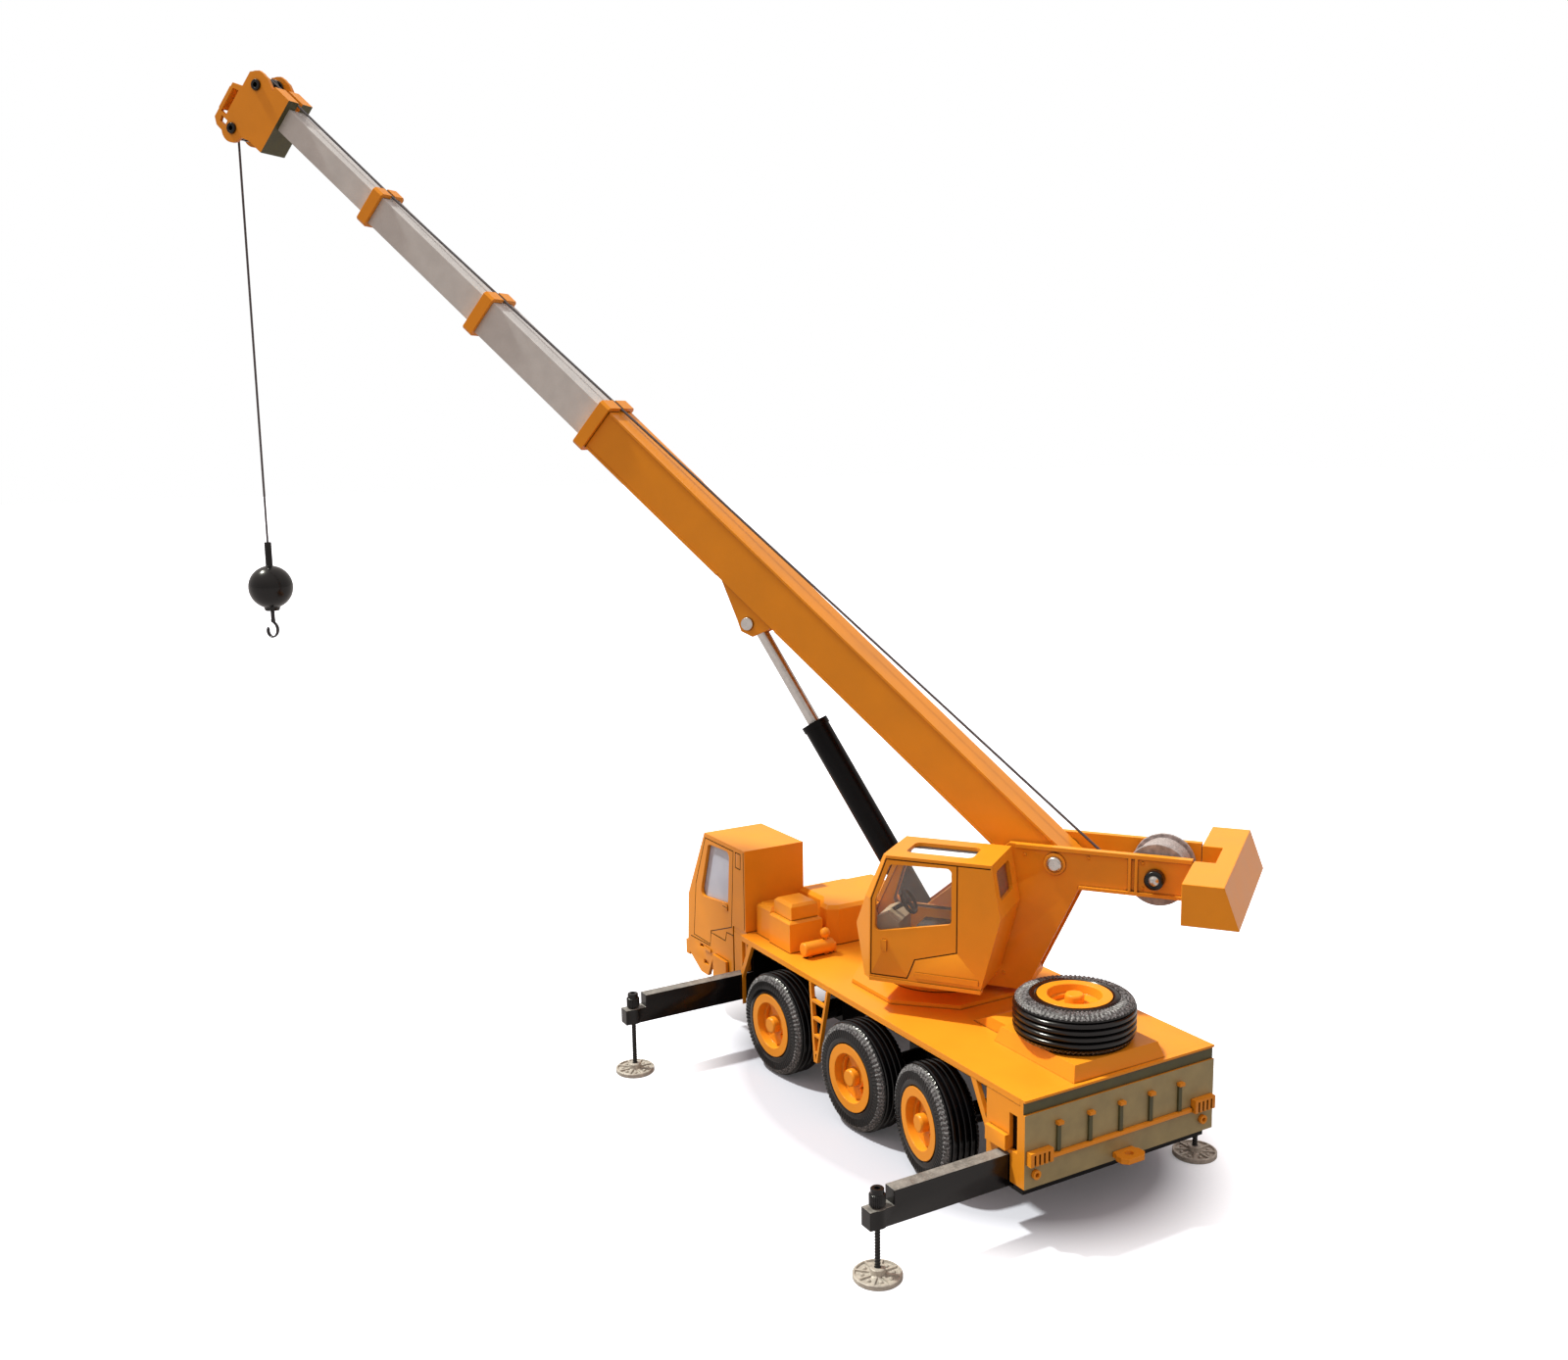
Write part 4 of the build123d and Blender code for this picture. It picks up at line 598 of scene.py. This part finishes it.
def outriggers():
    """Spoked pads, threaded spindles, and the beams' upper faces painted a lighter grey."""
    for (end, hand), x in BEAM_X.items():
        place = at(x, REACH[hand], 0)
        pad = gather(f"pad_detail_{end}_{hand}", [(place @ m, shape) for m, shape in pad_shape()], 30)
        settle(pad, f"pad_{end}_{hand}", PAD_METAL, "silver_enamel", f"foot_pad_{end}_{hand}")
        shapes = screw_shape(1.0, CAP_LOW[end], CAP_LOW[end])
        screw = gather(f"screw_detail_{end}_{hand}", [(place, shape) for shape in shapes], 34)
        settle(screw, f"screw_{end}_{hand}", BLACK, "black_plastic", f"jack_screw_{end}_{hand}")
        beam = soften(f"outrigger_beam_{end}_{hand}", 0.2)
        # The beams' upward faces are painted a lighter grey with pale specks.
        repaint(beam, GREY_TOPS, lambda centre, normal: normal.z > 0.9)


# ---------------------------------------------------------------- winch
WOUND_HALF, TURN_PITCH = 4.05, 0.62     # half the winding's width, and the width of a turn
DOME_R, KNOB_FACE = 1.1, 9.8


def winch():
    """Rope wound in turns on the drum, and domed knobs."""
    half, fine = WOUND_HALF, 6
    rows = int(2 * half / TURN_PITCH * fine)
    line = [(WOUND_R, -half + 2 * half * k / rows) for k in range(rows + 1)]

    def lay(r, z, angle, i, k):
        turn = (z / TURN_PITCH - angle / (2 * pi)) % 1
        slack = 0.12 * sin(3.1 * z) + 0.06 * sin(5 * angle + z)
        return r - 0.28 + 0.28 * sin(pi * turn) + slack - 0.1, z

    core = [(3.3, -half), (WOUND_R - 0.3, -half)]
    end = [(WOUND_R - 0.3, half), (3.3, half)]
    home = CRANE @ at(DRUM[0], 0, DRUM[1]) @ LYING
    shapes = [turned(line, 144, lay), turned(core, 144), turned(end, 144)]
    wound = gather("wound_rope", [(home, shape) for shape in shapes], 60)
    settle(wound, "winch", WOUND, "rope", "rope_winding")
    domes = []
    for hand in (-1, 1):
        side = home if hand > 0 else home @ Matrix.Rotation(pi, 4, "X")
        rim = [(1.0, 7.7), (2.0, 7.7), (2.1, 7.85), (2.1, 9.5), (1.95, 9.8), (1.6, 10.0), (1.25, 10.0)]
        dome = [(1.15, 9.85), (1.05, 9.9), (0.8, 10.15), (0.45, 10.3), (0.01, 10.35)]
        domes.append((side, turned(rim + dome, 64)))
    knobs = gather("winch_knobs_domed", domes, 34)
    settle(knobs, "winch", BLACK, "black_plastic", "winch_knobs")
    middle = home.inverted()

    def centre_dome(centre, normal):
        here = middle @ centre
        return Vector((here.x, here.y)).length < DOME_R and abs(here.z) > KNOB_FACE

    repaint(knobs, STEEL, centre_dome)


RIVETS = [(-47.6, 64.4), (-47.6, 58.9), (-36.0, 64.4), (-22.0, 63.9), (-17.5, 36.0), (5.5, 36.0)]
PLATE_OUT = 7.38      # outer face of the crane's side plates


def rivets():
    """Small domed rivets on the arms and the side plates."""
    shape = turned([(0.42, 0), (0.4, 0.12), (0.28, 0.26), (0.12, 0.33), (0.01, 0.34)], 20)
    parts = []
    for hand in (-1, 1):
        side = CRANE if hand > 0 else CRANE @ Matrix.Rotation(pi, 4, "Z")
        for x, z in RIVETS:
            parts.append((side @ at(x * hand, PLATE_OUT, z) @ LYING, shape))
    settle(gather("arm_rivets", parts, 50), "crane", ENAMEL, "enamel")


# ---------------------------------------------------------------- second finishes and painted shade
PANEL_BACK, BAND_LOW = -62.0, 27.0      # the rear panel's outer face, and the dark band's lower edge
RIB_LOW, RIB_HIGH, RIB_OUT = 18.1, 23.5, 18
CONSOLE_X, SEAT_TOP = 2.5, 51.6
HEAD_REAR = 272.3
IN_CRANE, IN_BOOM = CRANE.inverted(), BOOM.inverted()


def panel_face(centre, normal):
    """The rear panel's face below the band, painted khaki as shade."""
    outer = PANEL_BACK - 0.2 < centre.x < PANEL_BACK + 0.1
    return normal.x < -0.9 and outer and centre.z < BAND_LOW


def panel_band(centre, normal):
    """The band along the rear panel's top, painted dark as the shadow under the deck's lip."""
    return normal.x < -0.9 and centre.z > BAND_LOW - 0.1 and centre.x > PANEL_BACK + 0.2


def panel_ribs(centre, normal):
    """The upright ribs, without their caps and the rail, painted dark as the shadow beside them."""
    return centre.x < PANEL_BACK - 0.1 and RIB_LOW < centre.z < RIB_HIGH and abs(centre.y) < RIB_OUT


def cab_controls(centre, normal):
    """Console and steering wheel ahead of the seat, and what stands above it."""
    here = IN_CRANE @ centre
    return here.x < CONSOLE_X or here.z > SEAT_TOP


def head_rear(centre, normal):
    """The boom head's faces towards the boom, painted dark as shade."""
    return (IN_BOOM @ centre).x < HEAD_REAR and (IN_BOOM.to_3x3() @ normal).x < -0.5


SECOND = {"rear_panel": [(REAR_SHADE_KHAKI, panel_face), (SHADE_OLIVE, panel_band), (SHADE_OLIVE, panel_ribs)],
          "crane_cab_interior": [(BLACK, cab_controls)],
          "boom_head": [(SHADE_OLIVE, head_rear)]}


# ---------------------------------------------------------------- everything
MADE_APART = ("foot_pad", "jack_screw", "outrigger_beam", "winch_knobs")     # starts of names, as above

camera()
surroundings()
ropes()
tyres()
outriggers()
winch()
rivets()
for node in frame["nodes"]:
    if SLOT_OF[node] in ("rope", "glass", "tyre") or node.startswith(MADE_APART) or node == "hook":
        continue
    piece = soften(node, paint=FLANGE if node == "winch_drum" else None)
    for paint, chosen in SECOND.get(node, ()):
        repaint(piece, paint, chosen)
soften("hook", 0.05, GUNMETAL, 50)
for node, paint in (("drive_cab_glazing", MILKY), ("crane_cab_glazing", GLASS)):
    pane = frame["nodes"][node]
    pane.data.materials.clear()
    pane.data.materials.append(paint)

bpy.context.scene.view_settings.view_transform = "Standard"
